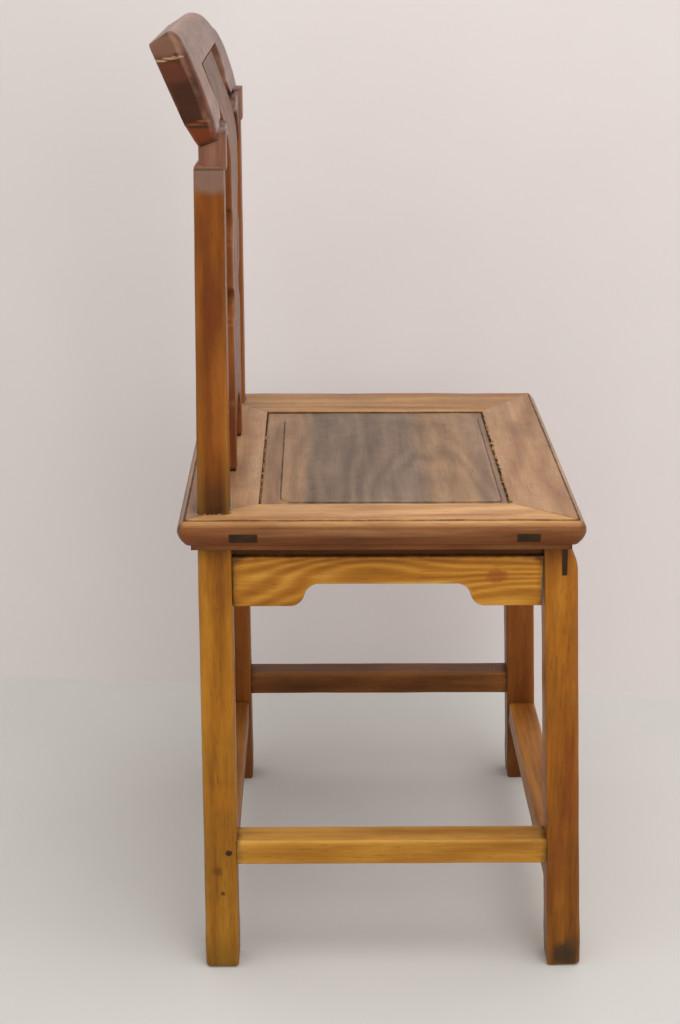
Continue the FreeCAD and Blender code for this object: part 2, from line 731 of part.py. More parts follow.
INSIDE_LEG = "leg_section / 2"
side_waist_x = right("%s - waist_recess - waist_thickness" % leg_outer(SHOULDER),
                     "%s - waist_recess" % leg_outer(SHOULDER))
strip_y = ("%s + %s" % (front_face(SHOULDER), INSIDE_LEG), "rear_shoulder_y - " + INSIDE_LEG)
strip_x = ("%s - %s" % (INSIDE_LEG, leg_outer(SHOULDER)), "%s - %s" % (leg_outer(SHOULDER), INSIDE_LEG))
front_legs = (front_leg_whole, left_front_leg_whole)
rear_legs = (rear_leg_whole, left_rear_leg_whole)
right_legs = (front_leg_whole, rear_leg_whole)
waist_z = (SHOULDER, RAIL_BOTTOM)

right_waist = cut("right_waist", box("right_waist_block", side_waist_x, strip_y, waist_z), *right_legs)
sub_part(right_waist, "waist_right")
sub_part(mirrored(right_waist, "left_waist"), "waist_left")
sub_part(cut("front_waist", box("front_waist_block", strip_x,
                                ("%s + waist_recess" % front_face(SHOULDER),
                                 "%s + waist_recess + waist_thickness" % front_face(SHOULDER)),
                                waist_z), *front_legs), "waist_front")
sub_part(cut("rear_waist", box("rear_waist_block", strip_x,
                               ("rear_shoulder_y - waist_recess - waist_thickness",
                                "rear_shoulder_y - waist_recess"),
                               waist_z), *rear_legs), "waist_rear")

# Aprons: a shallow arch between two ogees


def apron_outline(low, high, low_leg, high_leg):
    """Outline along the apron and up; low_leg and high_leg are where the legs' inner faces are."""
    arch = "%s + apron_arch_rise" % APRON_BOTTOM
    middle = "%s + apron_arch_rise / 2" % APRON_BOTTOM
    left_foot = "%s + apron_spandrel" % low_leg
    right_foot = "%s - apron_spandrel" % high_leg
    return [
        (low, SHOULDER),
        (low, APRON_BOTTOM),
        (left_foot, APRON_BOTTOM, "apron_ogee_radius", -1),
        (left_foot + " + apron_ogee_length / 2", middle, "apron_ogee_radius", 1),
        (left_foot + " + apron_ogee_length", arch),
        (right_foot + " - apron_ogee_length", arch, "apron_ogee_radius", 1),
        (right_foot + " - apron_ogee_length / 2", middle, "apron_ogee_radius", -1),
        (right_foot, APRON_BOTTOM),
        (high, APRON_BOTTOM),
        (high, SHOULDER),
    ]


side_apron_x = right("%s - apron_set_back - apron_thickness" % leg_outer(SHOULDER),
                     "%s - apron_set_back" % leg_outer(SHOULDER))
front_inner_face = "(%s + leg_section)" % front_face(SHOULDER)
rear_inner_face = "(rear_shoulder_y - leg_section)"
side_inner_face = "(%s - leg_section)" % leg_outer(SHOULDER)
right_apron = cut("right_apron", prism(
    "right_apron_board", "YZ", apron_outline(*strip_y, front_inner_face, rear_inner_face),
    *side_apron_x), *right_legs)
sub_part(right_apron, "apron_right")
sub_part(mirrored(right_apron, "left_apron"), "apron_left")
cross_outline = apron_outline(*strip_x, "-" + side_inner_face, side_inner_face)
sub_part(cut("front_apron", prism(
    "front_apron_board", "XZ", cross_outline,
    "%s + apron_set_back" % front_face(SHOULDER),
    "%s + apron_set_back + apron_thickness" % front_face(SHOULDER)),
    front_body, mirrored(front_body, "left_front_body")), "apron_front")
sub_part(cut("rear_apron", prism(
    "rear_apron_board", "XZ", cross_outline,
    "rear_shoulder_y - apron_set_back - apron_thickness",
    "rear_shoulder_y - apron_set_back"), *rear_legs), "apron_rear")

# Crest rail: the end section and the front outline meet in the crest's own tilted plane

end_section = prism("end_section", "YZ", [
    ("0", "crest_bottom"),
    ("crest_foot_back", "crest_bottom"),
    ("crest_rear_low", "crest_rear_low_up"),
    ("crest_rear_high", "crest_rear_high_up"),
    ("crest_top_back", "crest_top"),
    ("crest_edge_round", "crest_top", "crest_edge_round", -1),
    ("0", "crest_top - crest_edge_round", "crest_face_swell_radius", -1),
], "-crest_left_half_width", "crest_left_half_width")
front_outline = prism("front_outline", "XZ", [
    ("-drop_heel", "crest_bottom", "drop_throat_radius", 1),
    ("-drop_right_inner", "drop_throat_up", "drop_nose_radius", -1),
    ("drop_bump - drop_right_inner", "drop_bump_up", "drop_sweep_radius", 1),
    ("-drop_right_inner", "drop_inner_low_up"),
    ("-drop_right_inner", "crest_centre_up"),
    ("drop_left_inner", "crest_centre_up"),
    ("drop_left_inner", "drop_inner_low_up", "drop_sweep_radius", 1),
    ("drop_left_inner - drop_bump", "drop_bump_up", "drop_nose_radius", -1),
    ("drop_right_inner", "drop_throat_up", "drop_throat_radius", 1),
    ("drop_heel", "crest_bottom"),
    ("crest_end_foot", "crest_bottom", "crest_end_radius", -1),
    ("crest_left_half_width", "crest_rear_low_up"),
    ("crest_left_half_width", "crest_end_radius", "crest_left_end_radius", -1),
    ("crest_left_slope_end", "crest_top - crest_left_slope_drop", "crest_left_slope_radius", -1),
    ("crest_left_slope_start", "crest_top"),
    ("crest_right_corner_radius - crest_half_width", "crest_top", "crest_right_corner_radius", -1),
    ("-crest_half_width", "crest_top - crest_right_corner_radius"),
    ("-crest_half_width", "crest_bottom + crest_right_foot_radius", "crest_right_foot_radius", -1),
    ("crest_right_foot_radius - crest_half_width", "crest_bottom"),
], "-crest_rear_high", "2 * crest_rear_high")
crest_board = common("crest_board", end_section, front_outline)
crest_board.Placement.Rotation = FreeCAD.Rotation(FreeCAD.Vector(-1, 0, 0), number("crest_tilt"))
bind(crest_board, {"Placement.Base.y": "crest_y", "Placement.Base.z": "crest_z",
                   "Placement.Rotation.Angle": "crest_tilt"})
neck = box("neck",
           right("%s - post_width_high + neck_inset" % leg_outer("post_top"),
                 "%s - neck_inset" % leg_outer("post_top")),
           ("neck_front", "neck_rear"), ("post_top", "neck_top"))
left_neck = mirrored(neck, "left_neck")
crest_whole = fused("crest_whole", crest_board, neck, left_neck)
neck_mortise = box("neck_mortise", *post_tenon_span, "tenon_clearance")
left_neck_mortise = mirrored(neck_mortise, "left_neck_mortise")
crest = cut("crest", crest_whole, neck_mortise, left_neck_mortise)
sub_part(crest, "crest_rail")

# Curved brackets in the corners between the posts and the crest's drops

bracket_board = prism("bracket_board", "XZ", [
    ("post_width_high / 2 - %s" % leg_outer("post_top"), "bracket_low"),
    ("post_width_high + neck_inset - %s" % leg_outer("post_top"), "bracket_low",
     "bracket_radius * 1.2", 1),
    ("-bracket_tip_x", "bracket_tip_z"),
    ("-bracket_tip_x", "neck_top"),
    ("post_width_high / 2 - %s" % leg_outer("post_top"), "neck_top"),
], "bracket_front", "bracket_front + bracket_thickness")
right_bracket = cut("right_bracket", bracket_board, rear_leg_whole, crest_whole)
sub_part(right_bracket, "neck_bracket_right")
sub_part(mirrored(right_bracket, "left_bracket"), "neck_bracket_left")

# Splat: upright over the seat, then bent back into the crest's plane


def on_crest(back, up):
    """World Y and Z of a point given back from the crest's face and up along it."""
    return ("(crest_y + (%s) * sin(crest_tilt) + (%s) * cos(crest_tilt))" % (up, back),
            "(crest_z + (%s) * cos(crest_tilt) - (%s) * sin(crest_tilt))" % (up, back))


bend_up = "((splat_front - crest_y - splat_top_set_in * cos(crest_tilt)) / sin(crest_tilt))"
bend_z = on_crest("splat_top_set_in", bend_up)[1]
bend_reach = "(splat_bend_radius * tan(crest_tilt / 2))"
bend_start = "(%s - %s)" % (bend_z, bend_reach)
bend_end = "(%s + %s)" % (bend_up, bend_reach)
splat_back = "splat_front + splat_thickness"
splat_rear_in = "splat_top_set_in + splat_thickness"
side_view = prism("side_view", "YZ", [
    ("splat_front", "seat_height"),
    (splat_back, "seat_height"),
    (splat_back, bend_start, "splat_bend_radius - splat_thickness", 1),
    on_crest(splat_rear_in, bend_end),
    on_crest(splat_rear_in, "crest_centre_up"),
    on_crest("splat_top_set_in", "crest_centre_up"),
    on_crest("splat_top_set_in", bend_end) + ("splat_bend_radius", -1),
    ("splat_front", bend_start),
], "-splat_foot_half_width", "splat_foot_half_width")

# The splat's front view: an upper and a lower notch in each edge, and an arch at the foot

arch_rise = "(arch_height - arch_spring)"
arch_radius = "(arch_half_width ^ 2 + %s ^ 2) / (2 * %s)" % (arch_rise, arch_rise)
splat_half = [
    ("splat_half_width", "2 * seat_height"),
    ("splat_half_width", "notch_upper_z + notch_upper_half", "notch_upper_radius", -1),
    ("splat_half_width", "notch_upper_z - notch_upper_half"),
    ("splat_half_width", "notch_lower_top", "notch_lower_radius", -1),
    ("notch_lower_tip_x", "notch_lower_tip_z", "notch_lower_radius", -1),
    ("splat_half_width", "notch_lower_bottom"),
    ("splat_half_width", "seat_height + 2 * splat_foot_height"),
    ("splat_foot_half_width", "seat_height + splat_foot_height"),
    ("splat_foot_half_width", "seat_height"),
    ("arch_half_width", "seat_height"),
    ("arch_half_width", "seat_height + arch_spring", arch_radius, -1),
]


def with_mirror(half):
    """A half outline down the sitter's left, then its mirror image up the right."""
    back = []
    for i in range(len(half) - 1, -1, -1):
        leads_here = half[i - 1][2:] if i else ()
        back.append(("-(%s)" % half[i][0], half[i][1]) + leads_here)
    return half + back


front_view = prism("front_view", "XZ", with_mirror(splat_half), "0", "seat_depth")
slot = prism("slot", "XZ", [
    ("-slot_x - slot_width / 2", "slot_bottom", "slot_end_radius", -1),
    ("slot_width / 2 - slot_x", "slot_bottom"),
    ("slot_width / 2 - slot_x", "slot_top", "slot_end_radius", -1),
    ("-slot_x - slot_width / 2", "slot_top"),
], "0", "seat_depth")
sub_part(cut("splat", common("splat_board", side_view, front_view), slot, mirrored(slot, "left_slot")),
         "splat")

# Check every object and every solid, then write one file for each piece

doc.recompute()
failed = [obj.Name for obj in doc.Objects if "Invalid" in obj.State or "Error" in obj.State]
if failed:
    raise RuntimeError("objects that failed: %s" % ", ".join(failed))
os.makedirs("parts", exist_ok=True)
for solid in PARTS:
    shape = solid.Shape
    if shape.isNull() or not shape.isValid():
        raise RuntimeError("%s has no valid shape" % solid.Label)
    shape.exportStep("parts/%s.step" % solid.Label)
    span = shape.optimalBoundingBox()
    print("%-20s %d solid(s) %9.0f mm3  X %7.1f %7.1f  Y %7.1f %7.1f  Z %6.1f %6.1f" % (
        solid.Label, len(shape.Solids), shape.Volume, span.XMin, span.XMax, span.YMin, span.YMax,
        span.ZMin, span.ZMax))
print(len(PARTS), "pieces")
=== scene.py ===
# %% [markdown]
# # A worn wooden side chair
# This lesson dresses a chair that was first built as plain solids. The solids are the frame: they
# say where every piece is. Here each wooden piece is made again as a finer surface, with rounded
# and worn edges, hand-tool waviness, open joints and its own wood. Sizes are in millimetres until
# a surface becomes a mesh. +Z is up, the chair's front is -Y and the sitter's right is -X.

# %% Load the frame
import math

import bpy
import numpy as np
from mathutils import Matrix, Vector
from mathutils.geometry import delaunay_2d_cdt


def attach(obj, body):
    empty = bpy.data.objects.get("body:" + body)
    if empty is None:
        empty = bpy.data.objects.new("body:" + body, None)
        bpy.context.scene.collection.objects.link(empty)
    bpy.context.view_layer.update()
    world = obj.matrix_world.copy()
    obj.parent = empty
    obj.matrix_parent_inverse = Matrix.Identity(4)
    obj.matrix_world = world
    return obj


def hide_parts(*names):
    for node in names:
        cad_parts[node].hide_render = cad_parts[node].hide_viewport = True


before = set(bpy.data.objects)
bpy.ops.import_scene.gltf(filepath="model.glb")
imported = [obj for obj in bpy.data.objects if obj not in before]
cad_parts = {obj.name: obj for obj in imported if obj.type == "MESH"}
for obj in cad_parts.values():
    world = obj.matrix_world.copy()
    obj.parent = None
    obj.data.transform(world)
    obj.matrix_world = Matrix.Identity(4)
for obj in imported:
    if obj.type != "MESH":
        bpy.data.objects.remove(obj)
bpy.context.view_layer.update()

# %% [markdown]
# ## From numbers to a mesh
# Every piece starts as arrays: points, faces, and three numbers per point. The first, wear, is 1 on an
# edge that hands and feet have rubbed and 0 on a flat. The second is 1 where dirt has settled and also
# where
# shade is painted: in joints, grooves, corners and under other parts. The third is 1 where old varnish
# has gone dark and also where shadow is painted at the tops of the legs, under the seat frame. The
# materials read all three. They could be painted by hand, but worked out from the shape they stay right
# when the shape changes.

# %% Shells and pieces
MILLIMETRE = 0.001


def smooth(low, high, value):
    """0 below low, 1 above high, and an S-curve 3t^2 - 2t^3 between them."""
    t = np.clip((np.asarray(value, float) - low) / (high - low), 0.0, 1.0)
    return t * t * (3 - 2 * t)


WAVES = (  # direction across the wood, and phase, of each slow wave that hand planing leaves
    ((0.052, 0.031, 0.017), 0.4), ((-0.024, 0.046, 0.039), 2.1),
    ((0.071, -0.038, 0.058), 4.4), ((0.013, 0.092, -0.083), 1.3),
)


def ripple(points, shift=0.0):
    """Hand-tool waviness from -1 to 1: the mean of four plane waves 60 to 110 mm long."""
    return sum(np.sin(points @ np.array(way) + phase + shift) for way, phase in WAVES) / len(WAVES)


FIELDS = ("wear", "grime_and_shade", "patina_and_shade")


def shell(points, faces, wear=None, grime_and_shade=None, patina_and_shade=None):
    """A closed surface as a dict. Its faces turn over if the volume they enclose is negative.

    The volume is the sum over triangles of a . (b x c) / 6.
    """
    points = np.asarray(points, float)
    corners = np.array([(f[0], f[k], f[k + 1]) for f in faces for k in range(1, len(f) - 1)])
    a, b, c = (points[corners[:, k]] for k in range(3))
    if np.einsum("ij,ij->i", a, np.cross(b, c)).sum() < 0:
        faces = [tuple(reversed(f)) for f in faces]
    flat = np.zeros(len(points))
    return {"points": points, "faces": [tuple(f) for f in faces],
            **{field: flat if given is None else np.asarray(given, float)
               for field, given in zip(FIELDS, (wear, grime_and_shade, patina_and_shade))}}


def joined(*shells):
    """Several shells as one: points are stacked and faces count on from the shell before."""
    starts = np.cumsum([0] + [len(s["points"]) for s in shells])
    return {"points": np.concatenate([s["points"] for s in shells]),
            "faces": [tuple(int(i) + int(n) for i in f)
                      for s, n in zip(shells, starts) for f in s["faces"]],
            **{field: np.concatenate([s[field] for s in shells]) for field in FIELDS}}


def other_side(made):
    """The shell mirrored to the sitter's left: X changes sign and every face is turned over."""
    return {**made, "points": made["points"] * (-1, 1, 1),
            "faces": [tuple(reversed(f)) for f in made["faces"]]}


def piece(name, made, material, nodes=()):
    """Turns a shell into a smooth-shaded object that rides the chair and stands for these nodes."""
    mesh = bpy.data.meshes.new(name)
    mesh.from_pydata((made["points"] * MILLIMETRE).tolist(), [], made["faces"])
    mesh.polygons.foreach_set("use_smooth", np.ones(len(mesh.polygons), bool))
    for field in FIELDS:
        mesh.attributes.new(field, "FLOAT", "POINT").data.foreach_set("value", made[field])
    mesh.materials.append(material)
    obj = bpy.data.objects.new(name, mesh)
    bpy.context.scene.collection.objects.link(obj)
    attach(obj, "root")
    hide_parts(*nodes)
    print(name, len(made["points"]), "points")


def pair(name, made, near, far, stands=True):
    """A piece on the sitter's right and its mirror image on the left, each in its own wood."""
    for side, shape, material in (("_right", made, near), ("_left", other_side(made), far)):
        piece(name + side, shape, material, [name + side] if stands else ())


# %% [markdown]
# ## Colours
# Colours are noted as they look on a screen, from 0 to 255, and Blender mixes light in linear
# numbers, so each one is converted once, here.

# %% Colour helper
def tone(red, green, blue):
    """Screen colour 0-255 to linear light: ((c + 0.055) / 1.055) ^ 2.4, or c / 12.92 when dark."""
    c = np.array([red, green, blue]) / 255
    linear = np.where(c <= 0.04045, c / 12.92, ((c + 0.055) / 1.055) ** 2.4)
    return (*map(float, linear), 1.0)


# %% [markdown]
# ## Wood
# Old chairs like this are a pale hardwood under a thin orange-brown varnish. An image could be
# wrapped round each piece, but its seams would show on end grain. Instead the wood fills space:
# noise stretched along the grain gives streaks, tilted rings give the flame figure of a sawn board,
# and very fine stretched noise gives pores. Each piece reads it at its own place, so no two match.

# %% A small way to write node networks
class Wiring:
    """Adds nodes to one material and links their sockets by name."""

    def __init__(self, name):
        self.material = bpy.data.materials.new(name)
        self.material.use_nodes = True
        self.tree = self.material.node_tree
        self.shader = self.tree.nodes["Principled BSDF"]

    def node(self, kind, settings=(), **inputs):
        made = self.tree.nodes.new(kind)
        for key, value in dict(settings).items():
            setattr(made, key, value)
        for key, value in inputs.items():
            self.plug(made.inputs[key.replace("_", " ")], value)
        return made

    def plug(self, socket, value):
        if isinstance(value, bpy.types.NodeSocket):
            self.tree.links.new(value, socket)
        else:
            socket.default_value = value

    def maths(self, operation, first, second):
        made = self.node("ShaderNodeMath", {"operation": operation})
        self.plug(made.inputs[0], first)
        self.plug(made.inputs[1], second)
        return made.outputs[0]

    def add(self, first, second):
        return self.maths("ADD", first, second)

    def minus(self, first, second):
        return self.maths("SUBTRACT", first, second)

    def times(self, first, second):
        return self.maths("MULTIPLY", first, second)

    def mapped(self, place, location=(0, 0, 0), scale=(1, 1, 1)):
        """The place scaled and then moved."""
        return self.node("ShaderNodeMapping", Vector=place, Location=location,
                         Scale=scale).outputs[0]

    def stirred(self, place, scale, detail, amount):
        """The place pushed about by the colour of a coarse noise."""
        swirl = self.node("ShaderNodeTexNoise", Vector=place, Scale=scale, Detail=detail)
        push = self.node("ShaderNodeVectorMath", {"operation": "SCALE"},
                         Vector=swirl.outputs["Color"], Scale=amount)
        made = self.node("ShaderNodeVectorMath", {"operation": "ADD"})
        self.plug(made.inputs[0], place)
        self.plug(made.inputs[1], push.outputs[0])
        return made.outputs[0]

    def attribute(self, name):
        return self.node("ShaderNodeAttribute", {"attribute_name": name}).outputs["Fac"]

    def noise(self, place, scale, detail=3.0, roughness=0.55):
        return self.node("ShaderNodeTexNoise", Vector=place, Scale=scale, Detail=detail,
                         Roughness=roughness).outputs["Fac"]

    def ramp(self, factor, *stops):
        made = self.node("ShaderNodeValToRGB", Fac=factor)
        marks = made.color_ramp.elements
        while len(marks) < len(stops):
            marks.new(0.5)
        for mark, (position, colour) in zip(marks, stops):
            mark.position = position
            mark.color = colour if isinstance(colour, tuple) else (colour, colour, colour, 1)
        return made.outputs["Color"]

    def between(self, low, high, value, start=0.0, end=1.0):
        return self.node("ShaderNodeMapRange", {"interpolation_type": "SMOOTHSTEP"}, Value=value,
                         From_Min=low, From_Max=high, To_Min=start, To_Max=end).outputs["Result"]

    def mix(self, factor, first, second, blend="MIX"):
        made = self.node("ShaderNodeMix", {"data_type": "RGBA", "blend_type": blend})
        self.plug(made.inputs[0], factor)
        self.plug(made.inputs[6], first)
        self.plug(made.inputs[7], second)
        return made.outputs[2]

    def near(self, place, centre, reach, ragged):
        """1 inside an ellipsoid round centre, 0 outside, with an edge made ragged by noise (mm)."""
        away = self.mapped(place, [-c / r for c, r in zip(centre, reach)],
                           [1 / MILLIMETRE / r for r in reach])
        length = self.node("ShaderNodeVectorMath", {"operation": "LENGTH"}, Vector=away)
        spread = self.add(length.outputs["Value"], self.times(ragged, 0.9))
        return self.between(1.80, 1.10, spread)


# %% The wood itself
SPREAD = {"X": (0.07, 1, 1), "Y": (1, 0.07, 1), "Z": (1, 1, 0.07)}  # streaks are 14 times as long
LAZY = {"X": (0.2, 1, 1), "Y": (1, 0.2, 1), "Z": (1, 1, 0.2)}  # and growth rings 5 times
STREAKS, FIBRES, RINGS, PATCHES = 0.50, 0.16, 0.16, 0.40  # each pattern's share in light and dark
DARKEST, USUAL, LIGHTEST = 0.32, 0.50, 0.68  # where the three colours stand in that sum
# The dark brown of dirt in pores and joints, and also the colour of painted shade.
DIRT_AND_SHADE = (34, 17, 8)
PATINA_AND_SHADE = (0.33, 0.17, 0.12, 1.0)  # old varnish, and painted shadow under the seat frame, let this share of the colour through
SMALL_STAIN = 14  # mm. A smaller stain has a finer edge


def wood(name, grain, deep, middle, light, figure=0.5, rings=1.3, heart=(0.0, 0.0, 0.0), shift=0.0,
         blotch=0.5, tints=(), stains=(), rough=0.4, wear_share=0.28):
    """Varnished wood whose grain runs along one axis, from three colours, darkest first.

    tints are (axis, low, high, stops): the colour is multiplied by a ramp along that axis.
    stains are (centre, reach, colour, strength): ragged ellipsoids of another colour, in mm.
    """
    w = Wiring(name)
    place = w.node("ShaderNodeTexCoord").outputs["Object"]
    moved = w.mapped(place, (shift, shift * 0.7, shift * 1.3))
    along = w.stirred(w.mapped(moved, scale=SPREAD[grain]), 9.0, 2.0, 0.03)
    streak = w.noise(along, 70.0, 5.0, 0.6)
    fibre = w.noise(along, 430.0, 2.0, 0.6)
    pore = w.between(0.62, 0.72, w.noise(along, 900.0, 1.0, 0.5))
    cloud = w.noise(moved, 9.0, 3.0, 0.6)
    patch = w.noise(along, 16.0, 3.0, 0.5)
    smudge = w.noise(place, 85.0, 4.0, 0.6)
    stretch = LAZY[grain]
    centred = w.mapped(place, [-c * MILLIMETRE * s for c, s in zip(heart, stretch)], stretch)
    year_rings = w.node("ShaderNodeTexWave", {"wave_type": "RINGS", "rings_direction": "SPHERICAL"},
                        Vector=w.stirred(centred, 14.0 + shift, 1.0, 0.06),
                        Scale=rings * 10).outputs["Fac"]

    total = w.add(w.times(streak, STREAKS), w.times(fibre, FIBRES))
    total = w.add(total, w.times(w.minus(year_rings, 0.5), RINGS * figure))
    total = w.minus(w.add(total, w.times(patch, PATCHES)), 0.03)
    colour = w.ramp(total, (DARKEST, tone(*deep)), (USUAL, tone(*middle)), (LIGHTEST, tone(*light)))
    for axis, low, high, stops in tints:
        part = w.node("ShaderNodeSeparateXYZ", Vector=place).outputs[axis]
        uneven = w.times(w.minus(patch, 0.5), (high - low) * 0.12 * MILLIMETRE)
        at = w.node("ShaderNodeMapRange", Value=w.add(part, uneven), From_Min=low * MILLIMETRE,
                    From_Max=high * MILLIMETRE).outputs["Result"]
        colour = w.mix(1.0, colour, w.ramp(at, *[(s, (*c, 1.0)) for s, c in stops]), "MULTIPLY")
    colour = w.mix(blotch, colour, w.ramp(cloud, (0.34, 0.45), (0.52, 0.92), (0.66, 1.0)), "MULTIPLY")
    colour = w.mix(w.times(pore, 0.3), colour, tone(*DIRT_AND_SHADE))
    for centre, reach, stain, strength in stains:
        edge = w.noise(place, 260.0 if max(reach) < SMALL_STAIN else 60.0, 3.0)
        colour = w.mix(w.times(w.near(place, centre, reach, edge), strength), colour, tone(*stain))
    # Old varnish darkens the colour where the third number is high, and so does the painted shadow
    # under the seat frame.
    varnish_and_shade = w.times(w.attribute("patina_and_shade"), w.between(0.25, 0.6, streak, 0.75, 1.0))
    colour = w.mix(varnish_and_shade, colour, w.mix(1.0, colour, PATINA_AND_SHADE, "MULTIPLY"))
    rubbed = w.times(w.attribute("wear"), w.between(0.36, 0.60, w.noise(along, 30.0, 4.0, 0.65)))
    worn = [min(255, c * 1.1 + 14) for c in light]
    colour = w.mix(w.times(rubbed, wear_share), colour, tone(*worn))
    # Dirt, and painted shade in joints, grooves, corners and under other parts, mix the colour towards
    # dark brown and make it rougher.
    darkened = w.between(0.30, 0.95, w.add(w.times(w.attribute("grime_and_shade"), 0.85),
                                          w.times(w.minus(smudge, 0.5), 0.7)))
    colour = w.mix(w.times(darkened, 0.85), colour, tone(*DIRT_AND_SHADE))

    w.plug(w.shader.inputs["Base Color"], colour)
    w.plug(w.shader.inputs["Roughness"],
           w.add(w.times(smudge, 0.24), w.add(w.times(darkened, 0.2), rough - 0.12)))
    w.shader.inputs["Specular IOR Level"].default_value = 0.3
    w.shader.inputs["Specular Tint"].default_value = (1.0, 0.8, 0.5, 1.0)
    w.shader.inputs["Coat Weight"].default_value = 0.02
    w.shader.inputs["Coat Roughness"].default_value = 0.25
    height = w.minus(w.add(w.times(fibre, 0.4), w.times(streak, 0.5)), w.times(pore, 0.7))
    bump = w.node("ShaderNodeBump", Height=height, Strength=0.35, Distance=0.0006)
    w.plug(w.shader.inputs["Normal"], bump.outputs["Normal"])
    return w.material


# %% [markdown]
# ## Bars
# Legs, stretchers and strips are all sticks with a four-cornered section. Each could be a box with
# a bevel, but then every edge is as straight and even as a machine's. Here a rounded section is
# carried along a line, each corner may have its own radius, and the surface is moved in and out by
# a fraction of a millimetre of waviness.

# %% Section and bar
QUARTER = np.linspace(0, math.pi / 2, 6)
FLAT = np.array([0.05, 0.22, 0.41, 0.59, 0.78, 0.95])
SIGNS = ((1, 1), (-1, 1), (-1, -1), (1, -1))


def section_ring(half, radii):
    """Points of rounded rectangles, one per row, and how much of an edge each point is.

    A corner's arc is (sx (a - r) + r cos(angle), sy (b - r) + r sin(angle)), and a flat's points
    lie on the straight line between two arcs.
    """
    corners = []
    for k, (sx, sy) in enumerate(SIGNS):
        angle = QUARTER + k * math.pi / 2
        r = radii[:, k, None]
        corners.append(np.stack([sx * (half[:, :1] - r) + r * np.cos(angle),
                                 sy * (half[:, 1:] - r) + r * np.sin(angle)], -1))
    parts, edge = [], []
    for k, arc in enumerate(corners):
        start, end = arc[:, -1:], corners[(k + 1) % 4][:, :1]
        parts += [arc, start + (end - start) * FLAT[None, :, None]]
        edge += [np.clip(0.75 + 0.25 * np.sin(2 * QUARTER), 0, 1),
                 np.clip(1 - 9 * np.minimum(FLAT, 1 - FLAT), 0, 0.75)]
    return np.concatenate(parts, 1), np.tile(np.concatenate(edge), (len(half), 1))


def stations(length, step, ends):
    """Distances along a bar: even steps, with five close ones where each end is rounded."""
    turn = 1 - np.cos(QUARTER[:-1])
    low, high = ends
    inner = np.linspace(low * 1.05, length - high * 1.05, max(2, int(length / step)))
    return np.concatenate([low * turn, inner, (length - high * turn)[::-1]])


def bar(start, end, size, across, radii=2.0, ends=(1.0, 1.0), size_end=None, step=7.0, wave=0.25,
        seed=0.0, swell=None, dirt_and_shade=(0.0, 0.0)):
    """A stick from start to end. size is its width along "across" and its other width.

    Its ends shrink by r - sqrt(r^2 - (r - d)^2) at a distance d from the end, which rounds them.
    radii are its four edges', wave is its waviness in mm, and the last argument is how dark
    its two ends are: dirt, and painted shade where it meets other parts.
    """
    start, end, across = (np.asarray(v, float) for v in (start, end, across))
    length = np.linalg.norm(end - start)
    forward = (end - start) / length
    second = np.cross(forward, across)
    second /= np.linalg.norm(second)
    first = np.cross(second, forward)
    d = stations(length, step, ends)
    t = d / length
    half = (np.outer(1 - t, size) + np.outer(t, size if size_end is None else size_end)) / 2
    if swell is not None:
        half = half + swell(d)[:, None]
    for away, r in ((d, ends[0]), (length - d, ends[1])):
        gap = np.clip(r - away, 0, r)
        half = half - (r - np.sqrt(np.maximum(r * r - gap * gap, 0)))[:, None]
    radii = np.minimum(np.broadcast_to(radii, (len(d), 4)), half.min(1, keepdims=True) * 0.98)
    ring, edge = section_ring(half, radii)
    rows, columns = ring.shape[:2]
    centre = start + np.outer(d, forward)
    points = centre[:, None] + ring[..., :1] * first + ring[..., 1:] * second
    unit = points - centre[:, None]
    unit /= np.linalg.norm(unit, axis=-1, keepdims=True)
    points = points + unit * (wave * (ripple(points, seed) - 1.0) * 0.5)[..., None]
    rim = np.exp(-np.minimum(d, length - d) / 2.5)[:, None] * 0.6
    wear = np.clip(edge + rim, 0, 1)
    # Darker towards both ends: dirt, and painted shade where the stick meets other parts.
    grime_and_shade = np.clip(dirt_and_shade[0] * np.exp(-d / 9.0) + dirt_and_shade[1] * np.exp(-(length - d) / 9.0), 0, 1)
    grime_and_shade = np.repeat(grime_and_shade[:, None], columns, 1)
    points = np.concatenate([points.reshape(-1, 3), [start], [end]])
    return shell(points, tube_faces(rows, columns), np.append(wear.ravel(), (0, 0)),
                 np.append(grime_and_shade.ravel(), dirt_and_shade))


def grid_faces(rows, columns, closed=True):
    """Four-cornered faces between neighbouring rows, and round to the first column if closed."""
    r, c = np.meshgrid(np.arange(rows - 1), np.arange(columns if closed else columns - 1),
                       indexing="ij")
    a, b = r * columns + c, r * columns + (c + 1) % columns
    return [tuple(f) for f in np.stack([a, b, b + columns, a + columns], -1).reshape(-1, 4).tolist()]


def tube_faces(rows, columns):
    """A grid closed round, and a fan over each end about two more points, its middles."""
    n = rows * columns
    turn = [(i, (i + 1) % columns) for i in range(columns)]
    fans = [(n, j, i) for i, j in turn]
    fans += [(n + 1, n - columns + i, n - columns + j) for i, j in turn]
    return grid_faces(rows, columns) + fans


def slab(front, back, wear=0.0, grime_and_shade=0.0):
    """Two grids of points, one behind the other, and a strip of faces round their edge."""
    rows, columns = front.shape[:2]
    n = rows * columns
    faces = grid_faces(rows, columns, False)
    faces += [tuple(i + n for i in reversed(f)) for f in faces]
    number = np.arange(n).reshape(rows, columns)
    edge = np.concatenate([number[0], number[1:, -1], number[-1, -2::-1], number[-2:0:-1, 0]])
    faces += [(a, a + n, b + n, b) for a, b in zip(edge.tolist(), np.roll(edge, -1).tolist())]
    marks = [np.append(np.broadcast_to(m, (rows, columns)), np.zeros(n)) for m in (wear, grime_and_shade)]
    return shell(np.concatenate([front, back]).reshape(-1, 3), faces, *marks)


# %% [markdown]
# ## Plates
# Aprons, brackets, the splat and the crest are flat or gently curved boards sawn to an outline.
# A board could be an extruded curve, but then its face has no points inside and can't bend. Here
# the outline gets a rounded rim, the inside is filled with a net of triangles, and a function puts
# every point of the board in its place, so the same few lines make a straight apron or a bent splat.

